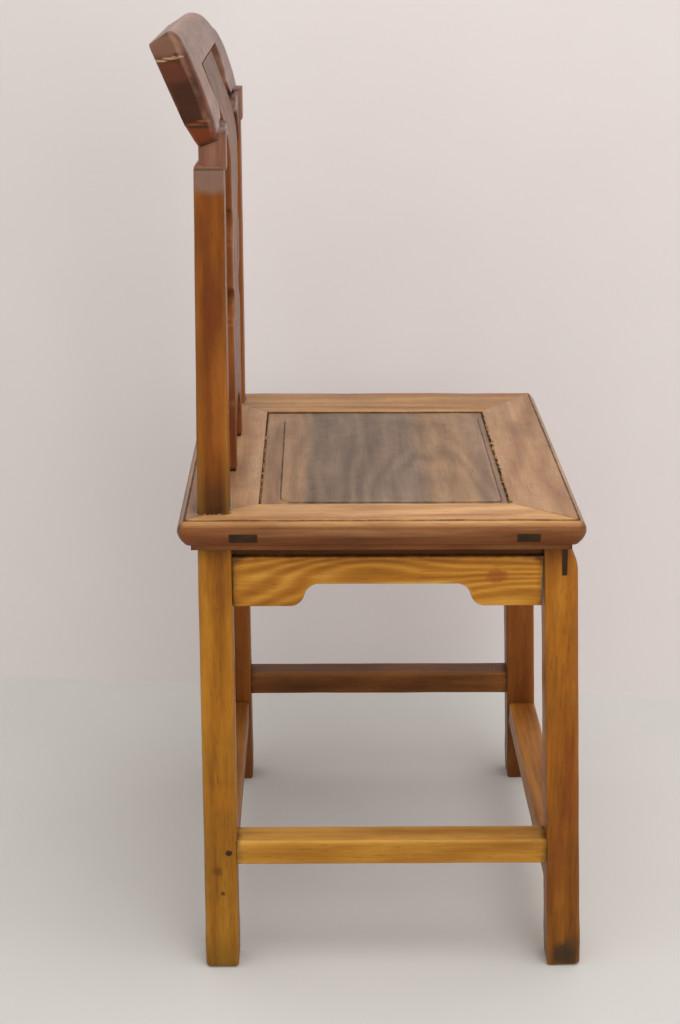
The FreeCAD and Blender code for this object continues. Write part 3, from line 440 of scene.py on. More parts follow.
# %% Outlines
def outline(points, step=4.0):
    """A closed line through the points. (x, y) starts a straight run, (x, y, radius, side) an arc.

    An arc's centre is the chord's middle plus side x sqrt(r^2 - (chord / 2)^2) across the chord.
    Side 1 bulges to the right of the way and -1 to the left.
    """
    line = []
    for k, point in enumerate(points):
        a = np.array(point[:2], float)
        b = np.array(points[(k + 1) % len(points)][:2], float)
        chord = b - a
        length = np.hypot(*chord)
        if len(point) == 2:
            count = max(1, int(round(length / step)))
            line.append(a + chord * (np.arange(count) / count)[:, None])
            continue
        radius, side = point[2:]
        across = np.array([-chord[1], chord[0]]) / length * side
        centre = a + chord / 2 + across * math.sqrt(max(radius ** 2 - length ** 2 / 4, 0))
        begin = math.atan2(*(a - centre)[::-1])
        sweep = side * 2 * math.asin(min(1.0, length / 2 / radius))
        count = max(3, int(round(abs(sweep) * radius / step)))
        angle = begin + sweep * np.arange(count) / count
        line.append(centre + radius * np.stack([np.cos(angle), np.sin(angle)], -1))
    return np.concatenate(line)


def inward(line):
    """Unit steps to the left of a closed line, longer at its corners so that an inset is even."""
    ahead = np.roll(line, -1, 0) - line
    ahead /= np.linalg.norm(ahead, axis=1, keepdims=True)
    left = np.stack([-ahead[:, 1], ahead[:, 0]], -1)
    both = left + np.roll(left, 1, 0)
    both /= np.linalg.norm(both, axis=1, keepdims=True)
    return both / np.clip((both * left).sum(1, keepdims=True), 0.55, 1)


def inside(points, line):
    """Which points lie inside a closed line: those that it winds round."""
    a, b = line, np.roll(line, -1, 0)
    x, y = points[:, :1], points[:, 1:]
    crosses = (a[:, 1] > y) != (b[:, 1] > y)
    slope = np.where(b[:, 1] == a[:, 1], 1e-9, b[:, 1] - a[:, 1])
    at = a[:, 0] + (y - a[:, 1]) * (b[:, 0] - a[:, 0]) / slope
    return (crosses & (x < at)).sum(1) % 2 == 1


# %% From an outline to a board
RIM = np.linspace(0, math.pi / 2, 5)


def rim_wear(inset, depth, rim):
    """1 on the rounded rim, 0.25 on the flat beside it, 0 farther in and down the side."""
    return (1 - 0.75 * (inset > rim) - 0.25 * (inset > rim + 2)
            - 0.3 * (depth > 0.8 * rim) - 0.7 * (depth > rim + 1))


def plate(loops, place, rim=1.5, net=6.0, extra=(), lap=0.7):
    """A board with these outlines, the first one outside and anticlockwise, the others clockwise.

    place(flat points, side, depth) gives points in space. side is 0 at the front and 1 at the
    back, and depth is how far below that face. The rim goes r (1 - sin a) in and r (1 - cos a) down.
    """
    profile = [(rim + lap, 0, 0.0), (rim, 0, 0.0)]
    profile += [(rim * (1 - math.sin(a)), 0, rim * (1 - math.cos(a))) for a in RIM[1:]]
    profile += [(0.0, 0, rim + 1.2)]
    profile += [(inset, 1, depth) for inset, _, depth in reversed(profile)]
    points, wear, faces, count = [], [], [], 0
    borders, numbers, edges, at = [], ([], []), [], 0
    for line in loops:
        step, n = inward(line), len(line)
        for inset, side, depth in profile:
            points.append(place(line + step * inset, side, depth))
            wear.append(np.full(n, rim_wear(inset, depth, rim)))
        faces += [tuple(count + i for i in reversed(f)) for f in grid_faces(len(profile), n)]
        borders.append(line + step * (rim + lap))
        numbers[0].append(count + np.arange(n))
        count += n * len(profile)
        numbers[1].append(count - n + np.arange(n))
        edges += [(at + i, at + (i + 1) % n) for i in range(n)]
        at += n

    def on_board(flat):
        """Inside the outer border and in none of the holes."""
        kept = inside(flat, borders[0])
        for hole in borders[1:]:
            kept &= ~inside(flat, hole)
        return kept

    border = np.concatenate(borders)
    low, high = borders[0].min(0), borders[0].max(0)
    x, y = np.meshgrid(*[np.arange(a + net / 2, b, net) for a, b in zip(low, high)])
    filling = np.concatenate([np.stack([x.ravel(), y.ravel()], -1), np.reshape(extra, (-1, 2))])
    filling = filling[on_board(filling)]
    far = np.sqrt(((filling[:, None] - border[None]) ** 2).sum(-1)).min(1)
    filling = filling[far > net * 0.3]
    flat, _, triangles, given, *_ = delaunay_2d_cdt(
        [Vector(p) for p in np.concatenate([border, filling])], edges, [], 0, 1e-6)
    flat, triangles = (np.array([tuple(v) for v in made]) for made in (flat, triangles))
    triangles = triangles[on_board(flat[triangles].mean(1))]
    first = np.array([found[0] for found in given])
    for side in (0, 1):
        index = np.concatenate([*numbers[side], count + np.arange(len(filling))])
        faces += index[first[triangles]][:, ::1 - 2 * side].tolist()
        points.append(place(filling, side, 0.0))
        wear.append(np.zeros(len(filling)))
        count += len(filling)
    return shell(np.concatenate(points), faces, np.concatenate(wear))


def facing(middle, way, inner):
    """A board's along, depth and height in space: middle + along x way + depth x inner."""
    middle, way, inner = (np.array([*v, 0.0]) for v in (middle, way, inner))

    def to_space(along, depth, height):
        along, depth, height = (v[..., None] for v in np.broadcast_arrays(along, depth, height))
        return middle + along * way + depth * inner + height * np.array([0.0, 0.0, 1.0])
    return to_space


# %% [markdown]
# ## Where the main faces are
# The legs lean inwards as they rise, the front ones also backwards, so several pieces ask how far
# out a leg is at some height. These lines repeat the frame's own sizes.

# %% Levels and leaning faces
SEAT, RAIL_UNDER, SHOULDER, APRON_ARCH = 490.0, 457.0, 446.0, 418.0
SHOULDER_START = 431.0  # a front leg's shoulder begins to curve back here
HALF_WIDTH, HALF_DEPTH = 235.0, 195.0
POST_FOOT, POST_TOP, POST_HEAD = 462.0, 815.6, 821.0


def leg_outer(z):
    return 228.1 - 0.0326 * z


def front_face(z):
    return 0.0426 * z - 209.5


def leg_width(z):
    return 34.7 - z / SHOULDER


# %% [markdown]
# ## The finishes
# The wood is honey to red-brown, and each member has aged in its own way. Posts and legs are
# orange-brown with yellow rubbed edges, aprons and the near stretcher golden, the seat frame tan
# where it is sat on and dark red-brown below, and the crest nearly black-red on its end grain.

# %% Woods of this chair
# The stains are dirt on the feet, knots and dark streaks on the near legs, old filler and nail holes
# on the near post, a knot in the near apron, and light and dark bands on the crest's near end. Painted
# light is among them too: a pale band at the top of the near post, partly wear and partly painted
# highlight, a painted highlight at the top of the crest's near end, and a painted highlight and painted
# shadow at the ledge on that end.
front_leg_wood = wood(
    "front_leg_wood", "Z", (112, 56, 10), (156, 92, 20), (188, 128, 38), shift=0.3, figure=0.4,
    wear_share=0.15,
    # The ramp darkens the leg towards the floor, and at its top, under the seat frame, as painted
    # shadow.
    tints=[("Z", 0, 460, [
        (0.0, (0.5, 0.5, 0.6)), (0.07, (0.62, 0.6, 0.65)), (0.14, (0.85, 0.82, 0.9)),
        (0.4, (0.92, 0.88, 0.9)), (0.62, (1, 1, 1)), (0.9, (1, 1, 1)), (1.0, (0.7, 0.6, 0.6))])],
    stains=[
        ((-226, -192, 14), (9, 13, 13), (40, 30, 22), 0.85),
        ((-226, -200, 26), (8, 9, 9), (66, 44, 26), 0.6),
        ((-217, -196, 380), (9, 9, 70), (112, 46, 16), 0.55),
        ((-222, -193, 210), (7, 7, 45), (118, 50, 16), 0.5),
        ((-224, -182, 120), (6, 6, 34), (116, 56, 20), 0.45)])
post_wood = wood(
    "post_wood", "Z", (118, 66, 10), (162, 103, 22), (194, 140, 42), shift=1.3, figure=0.4,
    wear_share=0.15,
    # Among its bands, the ramp darkens the leg just under the seat frame: painted shadow.
    tints=[("Z", 0, 840, [
        (0.0, (0.42, 0.42, 0.5)), (0.05, (0.74, 0.74, 0.8)), (0.16, (0.88, 0.86, 0.9)),
        (0.3, (1, 1, 1)), (0.44, (0.94, 0.9, 0.86)), (0.54, (0.72, 0.6, 0.56)),
        (0.585, (0.16, 0.12, 0.18)), (0.61, (0.28, 0.19, 0.26)), (0.64, (0.6, 0.39, 0.42)),
        (0.8, (0.62, 0.4, 0.44)), (0.93, (0.6, 0.38, 0.4)), (1.0, (0.62, 0.4, 0.42))])],
    stains=[
        # A pale band at the top of the post, where the neck meets it: partly wear, partly painted
        # highlight.
        ((-204, 158, 806), (22, 24, 13), (120, 94, 84), 0.8),
        ((-204, 158, 815), (30, 30, 1.1), (62, 42, 40), 0.7),
        ((-221, 166, 776), (3, 3, 2.5), (66, 26, 10), 0.8),
        ((-222, 164, 110.7), (5, 5, 5), (96, 46, 16), 0.7),
        ((-222, 155.5, 296.5), (3, 3, 3), (70, 34, 14), 0.8),
        ((-222, 175, 299.8), (2.5, 2.5, 2.5), (70, 34, 14), 0.8),
        ((-224, 158.6, 85.3), (2.5, 2.5, 2.5), (60, 28, 12), 0.8),
        ((-206, 158, 692), (5, 9, 34), (96, 34, 8), 0.5),
        ((-208, 152, 600), (5, 8, 60), (150, 84, 26), 0.45),
        ((-204, 170, 760), (6, 6, 30), (92, 34, 10), 0.4)])
far_leg_wood = wood(
    "far_leg_wood", "Z", (96, 44, 12), (134, 72, 24), (164, 100, 40), shift=0.8, figure=0.4,
    wear_share=0.15,
    # Among its bands, the ramp darkens the legs just under the seat frame: painted shadow.
    tints=[("Z", 0, 840, [
        (0.0, (0.6, 0.62, 0.66)), (0.2, (0.85, 0.85, 0.85)), (0.45, (1, 1, 1)),
        (0.54, (0.7, 0.56, 0.5)), (0.6, (0.8, 0.7, 0.66)), (1.0, (0.9, 0.86, 0.9))])])
apron_wood = wood(
    "apron_wood", "Y", (134, 78, 18), (168, 108, 30), (198, 142, 56), shift=2.1, figure=1.1,
    rings=6.5, heart=(-205, 108, 418), blotch=0.25,
    # The ramp darkens the board a little at its foot, and at its top, under the waist and seat rail, as
    # painted shadow.
    tints=[("Z", 395, 446, [
        (0.0, (0.86, 0.84, 0.84)), (0.2, (1, 1, 1)), (0.84, (1, 1, 1)), (1.0, (0.66, 0.56, 0.52))])],
    stains=[((-212, -112, 426), (9, 10, 7), (132, 66, 24), 0.7)])
apron_wood_across = wood(
    "apron_wood_across", "X", (118, 64, 16), (154, 94, 28), (186, 126, 46), shift=2.7, figure=1.0,
    rings=2.2, heart=(60, -190, 420), blotch=0.3)
stretcher_wood = wood(
    "stretcher_wood", "Y", (134, 82, 22), (170, 116, 38), (200, 148, 68), shift=3.3, figure=0.5,
    heart=(-206, 40, 150), blotch=0.3)
stretcher_wood_across = wood(
    "stretcher_wood_across", "X", (98, 52, 16), (140, 84, 32), (178, 120, 54), shift=3.9,
    figure=0.5, heart=(0, -190, 100))
far_stretcher_wood = wood(
    "far_stretcher_wood", "Y", (70, 34, 12), (104, 58, 24), (140, 88, 44), shift=3.6, figure=0.4,
    heart=(206, 30, 160))
rail_wood = wood(
    "rail_wood", "Y", (138, 88, 42), (178, 128, 76), (206, 160, 108), shift=4.7, figure=0.6,
    heart=(-190, 40, 500), rough=0.36, blotch=0.4,
    tints=[("X", 140, 235, [(0.0, (1, 1, 1)), (0.3, (0.74, 0.7, 0.6)), (1.0, (0.7, 0.64, 0.54))])],
    stains=[
        ((-214, -70, 490), (3.5, 60, 4), (140, 74, 44), 0.5),
        ((-221, 60, 489), (3, 70, 4), (134, 66, 36), 0.45)])
rail_wood_across = wood(
    "rail_wood_across", "X", (126, 86, 54), (160, 118, 82), (186, 146, 108), shift=5.3, figure=0.6,
    heart=(40, -150, 505), rough=0.36, blotch=0.5)
waist_wood = wood("waist_wood", "Y", (62, 30, 12), (92, 50, 22), (124, 74, 36), shift=6.1)
waist_wood_across = wood("waist_wood_across", "X", (62, 30, 12), (92, 50, 22), (124, 74, 36), shift=6.7)
crest_wood = wood(
    "crest_wood", "X", (88, 52, 39), (124, 87, 72), (156, 119, 102), shift=7.7, figure=0.5,
    heart=(0, 170, 960), rough=0.34, blotch=0.3, wear_share=0.15,
    tints=[
        ("X", -208, -190, [(0.0, (0.34, 0.13, 0.08)), (0.22, (0.44, 0.27, 0.22)), (0.7, (1, 1, 1))]),
        ("X", 60, 213, [(0.0, (1, 1, 1)), (1.0, (0.42, 0.27, 0.21))])],
    stains=[
        ((-209, 166, 846), (5, 17, 13), (102, 38, 12), 0.9),
        # A light band at the top of the near end, where it curves towards the top: painted highlight.
        ((-209, 194, 925), (8, 26, 11), (112, 78, 62), 0.9),
        ((-209, 175, 880), (5, 15, 26), (46, 16, 11), 0.8),
        ((-209, 186, 902), (5, 18, 9), (96, 48, 30), 0.5),
        # Light lines on the edge of the ledge and a dark line just under it: painted highlight and
        # painted shadow.
        ((-208, 160, 858.8), (5, 7, 1.3), (150, 98, 64), 0.45),
        ((-208, 170, 855.5), (5, 7, 1.3), (140, 84, 50), 0.45),
        ((-208, 164, 853.5), (5, 13, 1.4), (40, 18, 12), 0.8),
        ((-208, 199, 911), (5, 6, 1.0), (186, 158, 116), 0.6),
        ((-208, 190, 913.2), (5, 6, 1.0), (184, 156, 116), 0.6),
        ((-208, 183, 914.8), (5, 5, 1.0), (180, 148, 108), 0.6),
        ((-209, 184, 916.5), (4, 3, 2), (40, 20, 14), 0.8)])
splat_wood = wood(
    "splat_wood", "Z", (78, 36, 14), (114, 62, 28), (148, 90, 46), shift=8.9, figure=0.6,
    heart=(-30, 150, 700),
    tints=[("Z", 490, 900, [
        (0.0, (0.8, 0.6, 0.5)), (0.3, (1, 0.9, 0.8)), (0.75, (1, 0.95, 0.9)),
        (0.9, (0.62, 0.66, 0.8)), (1.0, (0.5, 0.52, 0.66))])])
dark_wood = wood("dark_wood", "X", (22, 11, 6), (38, 20, 11), (58, 34, 19), shift=9.4, rough=0.5)
neck_wood = wood("neck_wood", "Z", (84, 44, 30), (112, 68, 50), (138, 96, 78), shift=9.9, rough=0.4)
panel_wood = wood(
    "panel_wood", "X", (112, 88, 66), (146, 120, 94), (172, 146, 116), shift=10.3, figure=0.7,
    rings=1.6, heart=(-40, -30, 470), rough=0.36, blotch=0.25,
    tints=[("Y", -126, 118, [
        (0.0, (0.72, 0.62, 0.6)), (0.1, (0.76, 0.67, 0.66)), (0.15, (0.94, 0.8, 0.64)),
        (0.28, (0.92, 0.8, 0.64)), (0.33, (0.6, 0.58, 0.62)), (0.5, (0.56, 0.55, 0.6)),
        (0.79, (0.56, 0.54, 0.56)), (0.83, (0.86, 0.72, 0.56)), (0.91, (0.88, 0.72, 0.57)),
        (1.0, (1.0, 0.82, 0.6))])])


def plaster(name, pale, brown):
    """Chalky joint filler: two colours in ragged patches, fully rough."""
    w = Wiring(name)
    place = w.node("ShaderNodeTexCoord").outputs["Object"]
    patches = w.ramp(w.noise(place, 420.0, 4.0), (0.40, tone(*brown)), (0.60, tone(*pale)))
    w.plug(w.shader.inputs["Base Color"], patches)
    bump = w.node("ShaderNodeBump", Height=w.noise(place, 900.0, 3.0), Strength=0.6, Distance=0.0008)
    w.plug(w.shader.inputs["Normal"], bump.outputs["Normal"])
    w.shader.inputs["Roughness"].default_value = 0.85
    return w.material


filler_white = plaster("filler_white", (176, 162, 148), (104, 84, 66))
filler_yellow = plaster("filler_yellow", (176, 138, 84), (96, 66, 34))

# %% [markdown]
# ## Legs and back posts
# A rear leg and its post are one long stick: a leaning square leg up to the seat frame, and above
# it a plainer, thinner post. The front legs end under the seat, with a shoulder that curves back.
# Beside it a dark strip on the leg's outer face stands for the end of the waist strip and paints
# the shade of the slot where it ends. Feet are worn round and stained.

# %% Legs
def foot_swell(z):
    """Feet bulge by half a millimetre about 20 mm up and taper away below, where they are worn."""
    return 0.5 * np.exp(-((z - 30) / 16) ** 2) - 0.25


def leg_shell(front, seed):
    """A leaning leg of the sitter's right, up to the seat frame.

    Above z 431 a front leg's front face curves back by 8.5 ((z - 431) / 26)^2 mm. The set-back
    fades to nothing at the leg's rear face.
    """
    def centre(z):
        w = leg_width(z)
        y = front_face(z) + w / 2 if front else 177.9 - 0.6 * z / SHOULDER - w / 2
        return np.array([-(leg_outer(z) - w / 2), y, z])
    low, high = leg_width(0.0), leg_width(RAIL_UNDER)
    arris = (3.0, 2.0, 5.0, 2.5) if front else (2.5, 5.0, 3.0, 2.0)
    made = bar(centre(0.0), centre(RAIL_UNDER), (low, low), (1, 0, 0), arris, (3.5, 0.3), (high, high),
               step=5.0, wave=0.5, seed=seed, swell=foot_swell, dirt_and_shade=(0.5, 0.7))
    _, y, z = made["points"].T
    if front:
        share = np.clip(1 - (y - front_face(z)) / high, 0, 1)
        y += 8.5 * share * (np.clip(z - SHOULDER_START, 0, None) / 26) ** 2
    z[:] = np.clip(z, 0.0, None)
    # Darker towards the seat frame: painted shadow under the seat rail.
    made["patina_and_shade"] = 0.55 * smooth(436, 457, z)
    return made


def post_faces(z):
    """Y of the post's front and rear faces. The rear one comes forward 3.9 mm up to its top."""
    up = (z - RAIL_UNDER) / (POST_TOP - RAIL_UNDER)
    return np.array([145.4 - 0.6 * up, 176.5 - 3.9 * up])


def post_shell(seed):
    """The back post: 33.5 by 31.1 mm at the seat, 33.2 by 27.8 mm at its rounded top."""
    foot, head = ((-(leg_outer(z) - 16.7), post_faces(z).mean(), z) for z in (POST_FOOT, POST_HEAD))
    return bar(foot, head, (33.5, np.ptp(post_faces(POST_FOOT))), (1, 0, 0), (2.5, 3.4, 2.4, 1.6),
               (0.5, 7.0), (33.2, np.ptp(post_faces(POST_HEAD))), step=5.0, wave=0.45, seed=seed,
               dirt_and_shade=(1.3, 0.0))


rear_leg = joined(leg_shell(False, 1.7), post_shell(2.9))
# A dark strip on the leg's outer face: the waist strip's end, and painted shade for the slot it stands
# in.
slot_x, slot_y = -leg_outer(SHOULDER) + 1.2, front_face(RAIL_UNDER) + 12.7
slot_end = bar((slot_x, slot_y, 426.5), (slot_x, slot_y + 0.6, RAIL_UNDER), (3.6, 5.4), (1, 0, 0),
               0.6, (1.4, 0.3), step=3.0, wave=0.2)
pair("front_leg", leg_shell(True, 0.0), front_leg_wood, far_leg_wood)
pair("waist_end_and_slot_shade", slot_end, dark_wood, dark_wood, stands=False)
pair("rear_leg", rear_leg, post_wood, far_leg_wood)

# %% [markdown]
# ## Stretchers and their pegs
# Four rails tie the legs near the floor. The front one is lowest, as a footrest. The side ones are
# locked by round pegs driven from the outer face of the rear legs.

# %% Stretchers
SIDE_Z, FRONT_Z, REAR_Z = 131.05, 91.25, 94.25  # the pegs are at the side stretchers' height
INTO_LEG = 0.6  # a stretcher's end runs this far into the leg, so no light shows at the joint
side_start = front_face(131.0) + leg_width(131.0) - INTO_LEG
side_bar = bar((-207.4, side_start, SIDE_Z), (-207.4, 143.4 + INTO_LEG, SIDE_Z), (31.8, 27.3),
               (1, 0, 0), (2.2, 2.6, 2.4, 2.6), (0.4, 0.4), wave=0.5, seed=4.0, dirt_and_shade=(0.9, 0.9))
pair("stretcher", side_bar, stretcher_wood, far_stretcher_wood)
inner = leg_outer(92.0) - leg_width(92.0) + INTO_LEG
for name, y, z, wide, arris, seed in (("stretcher_front", -189.2, FRONT_Z, 31.8, 2.6, 5.0),
                                      ("stretcher_rear", 160.5, REAR_Z, 27.8, 2.4, 6.0)):
    cross_bar = bar((-inner, y, z), (inner, y, z), (wide, 27.3), (0, 1, 0), arris, (0.4, 0.4),
                    wave=0.5, seed=seed, dirt_and_shade=(0.9, 0.9))
    piece(name, cross_bar, stretcher_wood_across, [name])

peg_x = leg_outer(SIDE_Z)
peg = bar((-peg_x - 0.35, 151.8, SIDE_Z), (-peg_x + 18.0, 151.8, SIDE_Z), (6.9, 6.6), (0, 1, 0), 3.2,
          (1.2, 0.3), step=4.0, wave=0.3, dirt_and_shade=(0.25, 0.0))
piece("stretcher_pegs", joined(peg, other_side(peg)), dark_wood, ["stretcher_pegs"])

# %% [markdown]
# ## Aprons and waist
# Under the seat a thin dark strip, the waist, is set back, and below it hangs a thin board whose
# lower edge drops at both ends in a double curve. The boards are plates on a plain outline.

# %% Apron boards
APRON_FOOT, APRON_STEP, APRON_DEEP = 395.0, 406.5, 14.0


def apron_outline(half, arch):
    """A board from -half to half. The lower edge rises from z 395 to the arch in two arcs."""
    return outline([
        (arch + 23, APRON_FOOT), (half, APRON_FOOT), (half, SHOULDER), (-half, SHOULDER),
        (-half, APRON_FOOT), (-arch - 23, APRON_FOOT, 15.0, 1),
        (-arch - 11.5, APRON_STEP, 15.0, -1), (-arch, APRON_ARCH),
        (arch, APRON_ARCH, 15.0, -1), (arch + 11.5, APRON_STEP, 15.0, 1)], 4.0)


def apron(half, arch, middle, way, inner, seed):
    """A board whose outer face is centred on middle. It runs along way and is 14 mm deep."""
    to_space = facing(middle, way, inner)

    def place(flat, side, depth):
        points = to_space(flat[:, 0], np.where(side, APRON_DEEP - depth, depth), flat[:, 1])
        return points - 0.25 * (ripple(points, seed) - 1)[:, None] * (*inner, 0)
    made = plate([apron_outline(half, arch)], place, 1.3, 5.0, lap=2.2)
    along = (made["points"][:, :2] - middle) @ way
    # Darker at both ends, by the legs, and along the top, under the waist: dirt, and painted shade.
    top = np.exp(-(SHOULDER - made["points"][:, 2]) / 4.0)
    made["grime_and_shade"] = np.clip(np.exp(-(half - np.abs(along)) / 7.0) + 0.8 * top, 0, 1)
    return made


pair("apron", apron(150.4, 69.2, (-212.0, -6.6), (0, 1), (1, 0), 0.6), apron_wood, apron_wood)
for name, y, way, seed in (("apron_front", -188.9, -1, 1.9), ("apron_rear", 175.7, 1, 2.6)):
    board = apron(180.2, 98.9, (0.0, y), (way, 0), (0, -way), seed)
    piece(name, board, apron_wood_across, [name])

WAIST_Z, WAIST_SIZE = 451.5, (14, 11.4)
side_waist = bar((-197.1, -156.8, WAIST_Z), (-197.1, 143.6, WAIST_Z), WAIST_SIZE, (1, 0, 0), 0.6,
                 (0.3, 0.3), wave=0.2, dirt_and_shade=(0.8, 0.8))
pair("waist", side_waist, waist_wood, waist_wood)
for name, y in (("waist_front", -174.0), ("waist_rear", 160.8)):
    strip = bar((-179.9, y, WAIST_Z), (179.9, y, WAIST_Z), WAIST_SIZE, (0, 1, 0), 0.6, (0.3, 0.3),
                wave=0.2)
    piece(name, strip, waist_wood_across, [name])

# %% [markdown]
# ## Seat frame
# Four moulded boards meet at mitred corners. One profile, with a bead line on top, a rounded nose
# and a lip under it, is carried along each board. Near a corner the path of the outermost points
# turns in an arc, and the wood is cut back a little at the mitre, so that the joint shows as a line.

# %% Seat rails
CORNER = 10.0  # the radius of the frame's corners
USUAL_RUN = 430.0
CLOSE = np.array([0, 0.3, 0.7, 1.2, 2, 3, 4.5, 6.5, 9, 12, 16]) / USUAL_RUN  # rows near a mitre
BEAD, NOSE_FOOT, LIP = (6.0, 489.2), 462.5, 13.0


def rail_profile(width):
    """(inset, height) pairs round the rail: up the nose, over the bead and top, down, and back."""
    lower = outline([(11.0, NOSE_FOOT, 22.0, -1), (0.0, 477.0, 14.0, -1), BEAD,
                     (-50.0, BEAD[1])], 1.5)
    nose = lower[:int(np.argmin(np.hypot(*(lower - BEAD).T))) + 1]
    top = [(7.1, 488.4), (7.5, 488.5), (8.6, 489.7), (9.4, SEAT)]
    top += [(t, SEAT) for t in np.linspace(10.5, width - 2.5, 14)]
    inner = [(width - 1.0, SEAT), (width - 0.5, 489.6), (width - 0.1, 488.6), (width, 486.0),
             (width, 475.0), (width, 458.0), (width - 1, RAIL_UNDER)]
    under = [(t, RAIL_UNDER) for t in np.linspace(width - 8, 13.6, 6)]
    lip = [(13.1, 457.3), (LIP, 458.0), (LIP, 461.0), (12.9, 462.2), (12.4, NOSE_FOOT)]
    return np.concatenate([nose, top, inner, under, lip])


def rail(half, width, low_width, high_width, to_space, seed):
    """The profile carried from mitre to mitre.

    At a distance D from the mitre a point with inset t < 10 is on an arc of radius 10 - t while
    D < (10 - t) pi / 4, and on a straight run after it. Others are straight all the way.
    """
    profile = rail_profile(width)
    t, z = profile[:, 0], profile[:, 1]
    radius = np.maximum(CORNER - t, 0)
    arc = radius * math.pi / 4
    starts = []
    for neighbour in (low_width, high_width):
        mitre = np.where(t < 12, t, 12 + (t - 12) * (neighbour - 12) / (width - 12))
        starts.append(np.where(t < CORNER, CORNER, mitre))
    total = 2 * half - starts[0] - starts[1] + 2 * arc
    q = np.concatenate([CLOSE, np.linspace(CLOSE[-1], 1 - CLOSE[-1], 46)[1:-1], 1 - CLOSE[::-1]])
    run = q[:, None] * total
    from_low = run < total / 2
    d = np.where(from_low, run, total - run)
    start = np.where(from_low, starts[0], starts[1])
    phi = np.where(radius > 0, np.clip(arc - d, 0, None) / np.maximum(radius, 1e-6), 0)
    reach = np.where(d < arc, CORNER - radius * np.sin(phi), start + d - arc)
    inset = np.where(d < arc, CORNER - radius * np.cos(phi), t)
    along = np.where(from_low, -half + reach, half - reach)
    open_joint = 0.2 * np.exp(-(d / 0.8) ** 2) + 0.3
    inset = inset + open_joint * (t < 6.5)
    points = to_space(along, inset, z - open_joint * (z > 482))
    wave = 0.35 * (ripple(points, seed) - 1)
    points[..., 2] += np.where(z > 485, wave, 0)
    rows, columns = points.shape[:2]
    middle = [points[0].mean(0), points[-1].mean(0)]
    edge = np.exp(-((t - 5.0) / 2.2) ** 2) * (z > 484) + 0.6 * np.exp(-((t - 0.2) / 0.6) ** 2)
    edge = edge + 0.3 * np.exp(-((t - width + 2) / 1.5) ** 2) * (z > 480)
    # Darker in the bead's groove, under the rail, along the inner edge by the panel and at the mitres:
    # dirt, and painted shade.
    bead = 1.5 * np.exp(-((t - 7.4) / 1.5) ** 2) * (z > 486)
    under = smooth(464, 459, z) * 0.45 + 1.1 * smooth(width - 1.1, width - 0.4, t)
    band = 1.0 * smooth(488.0, 480, z) * (t < 14) + 0.35 * smooth(489.6, 487, z) * (t < 7)
    wear = np.clip(np.tile(edge, (rows, 1)), 0, 1)
    grime_and_shade = np.clip(bead + under + 0.35 * np.exp(-d / 1.0) + 0.15 * np.exp(-d / 9.0), 0, 1)
    patina_and_shade = np.append(np.clip(np.tile(band, (rows, 1)), 0, 1).ravel(), (1, 1))
    return shell(np.concatenate([points.reshape(-1, 3), middle]), tube_faces(rows, columns),
                 np.append(wear.ravel(), (0, 0)), np.append(grime_and_shade.ravel(), (1, 1)), patina_and_shade)


FRONT_W, REAR_W, RIGHT_W, LEFT_W = 69.0, 77.0, 55.7, 88.0
on_right = facing((-HALF_WIDTH, 0), (0, -1), (1, 0))
on_left = facing((HALF_WIDTH, 0), (0, 1), (-1, 0))
on_front = facing((0, -HALF_DEPTH), (1, 0), (0, 1))
on_rear = facing((0, HALF_DEPTH), (-1, 0), (0, -1))
rails = (
    ("seat_rail_right", HALF_DEPTH, RIGHT_W, REAR_W, FRONT_W, on_right, rail_wood, 0.2),
    ("seat_rail_left", HALF_DEPTH, LEFT_W, FRONT_W, REAR_W, on_left, rail_wood, 1.1),
    ("seat_rail_front", HALF_WIDTH, FRONT_W, RIGHT_W, LEFT_W, on_front, rail_wood_across, 2.3),
    ("seat_rail_rear", HALF_WIDTH, REAR_W, LEFT_W, RIGHT_W, on_rear, rail_wood_across, 3.2),
)
for name, half, width, low_width, high_width, to_space, finish, seed in rails:
    piece(name, rail(half, width, low_width, high_width, to_space, seed), finish, [name])

# %% [markdown]
# ## Seat panel
# A thin board floats in the frame. Its middle is raised a millimetre above a scribed margin, and
# the board has shrunk, so the joint round it is open. The top is a height over x and y.

# %% Panel
PANEL = (-179.0, 146.7, -125.7, 117.7)
FIELD = (-171.3, 123.0, -118.0, 97.0)


def field_distance(x, y):
    """Distance outside the field's edge, less than 0 inside. Its rear corners have radius 14."""
    cx, cy = (FIELD[0] + FIELD[1]) / 2, (FIELD[2] + FIELD[3]) / 2
    r = np.where(y > cy, 14.0, 3.0)
    dx = np.abs(x - cx) - (FIELD[1] - FIELD[0]) / 2 + r
    dy = np.abs(y - cy) - (FIELD[3] - FIELD[2]) / 2 + r
    return np.hypot(np.maximum(dx, 0), np.maximum(dy, 0)) + np.minimum(np.maximum(dx, dy), 0) - r


def lines(low, high, marks, step):
    """Grid lines from low to high, even at first, with finer ones added round each mark."""
    fine = [m + np.array([-3, -2, -1.4, -0.9, -0.5, -0.15, 0.2, 0.6, 1.1, 1.8, 2.8]) for m in marks]
    every = np.concatenate([np.arange(low, high, step), [high]] + fine)
    every = np.unique(np.round(np.clip(every, low, high), 3))
    return every[np.concatenate([[True], np.diff(every) > 0.12])]


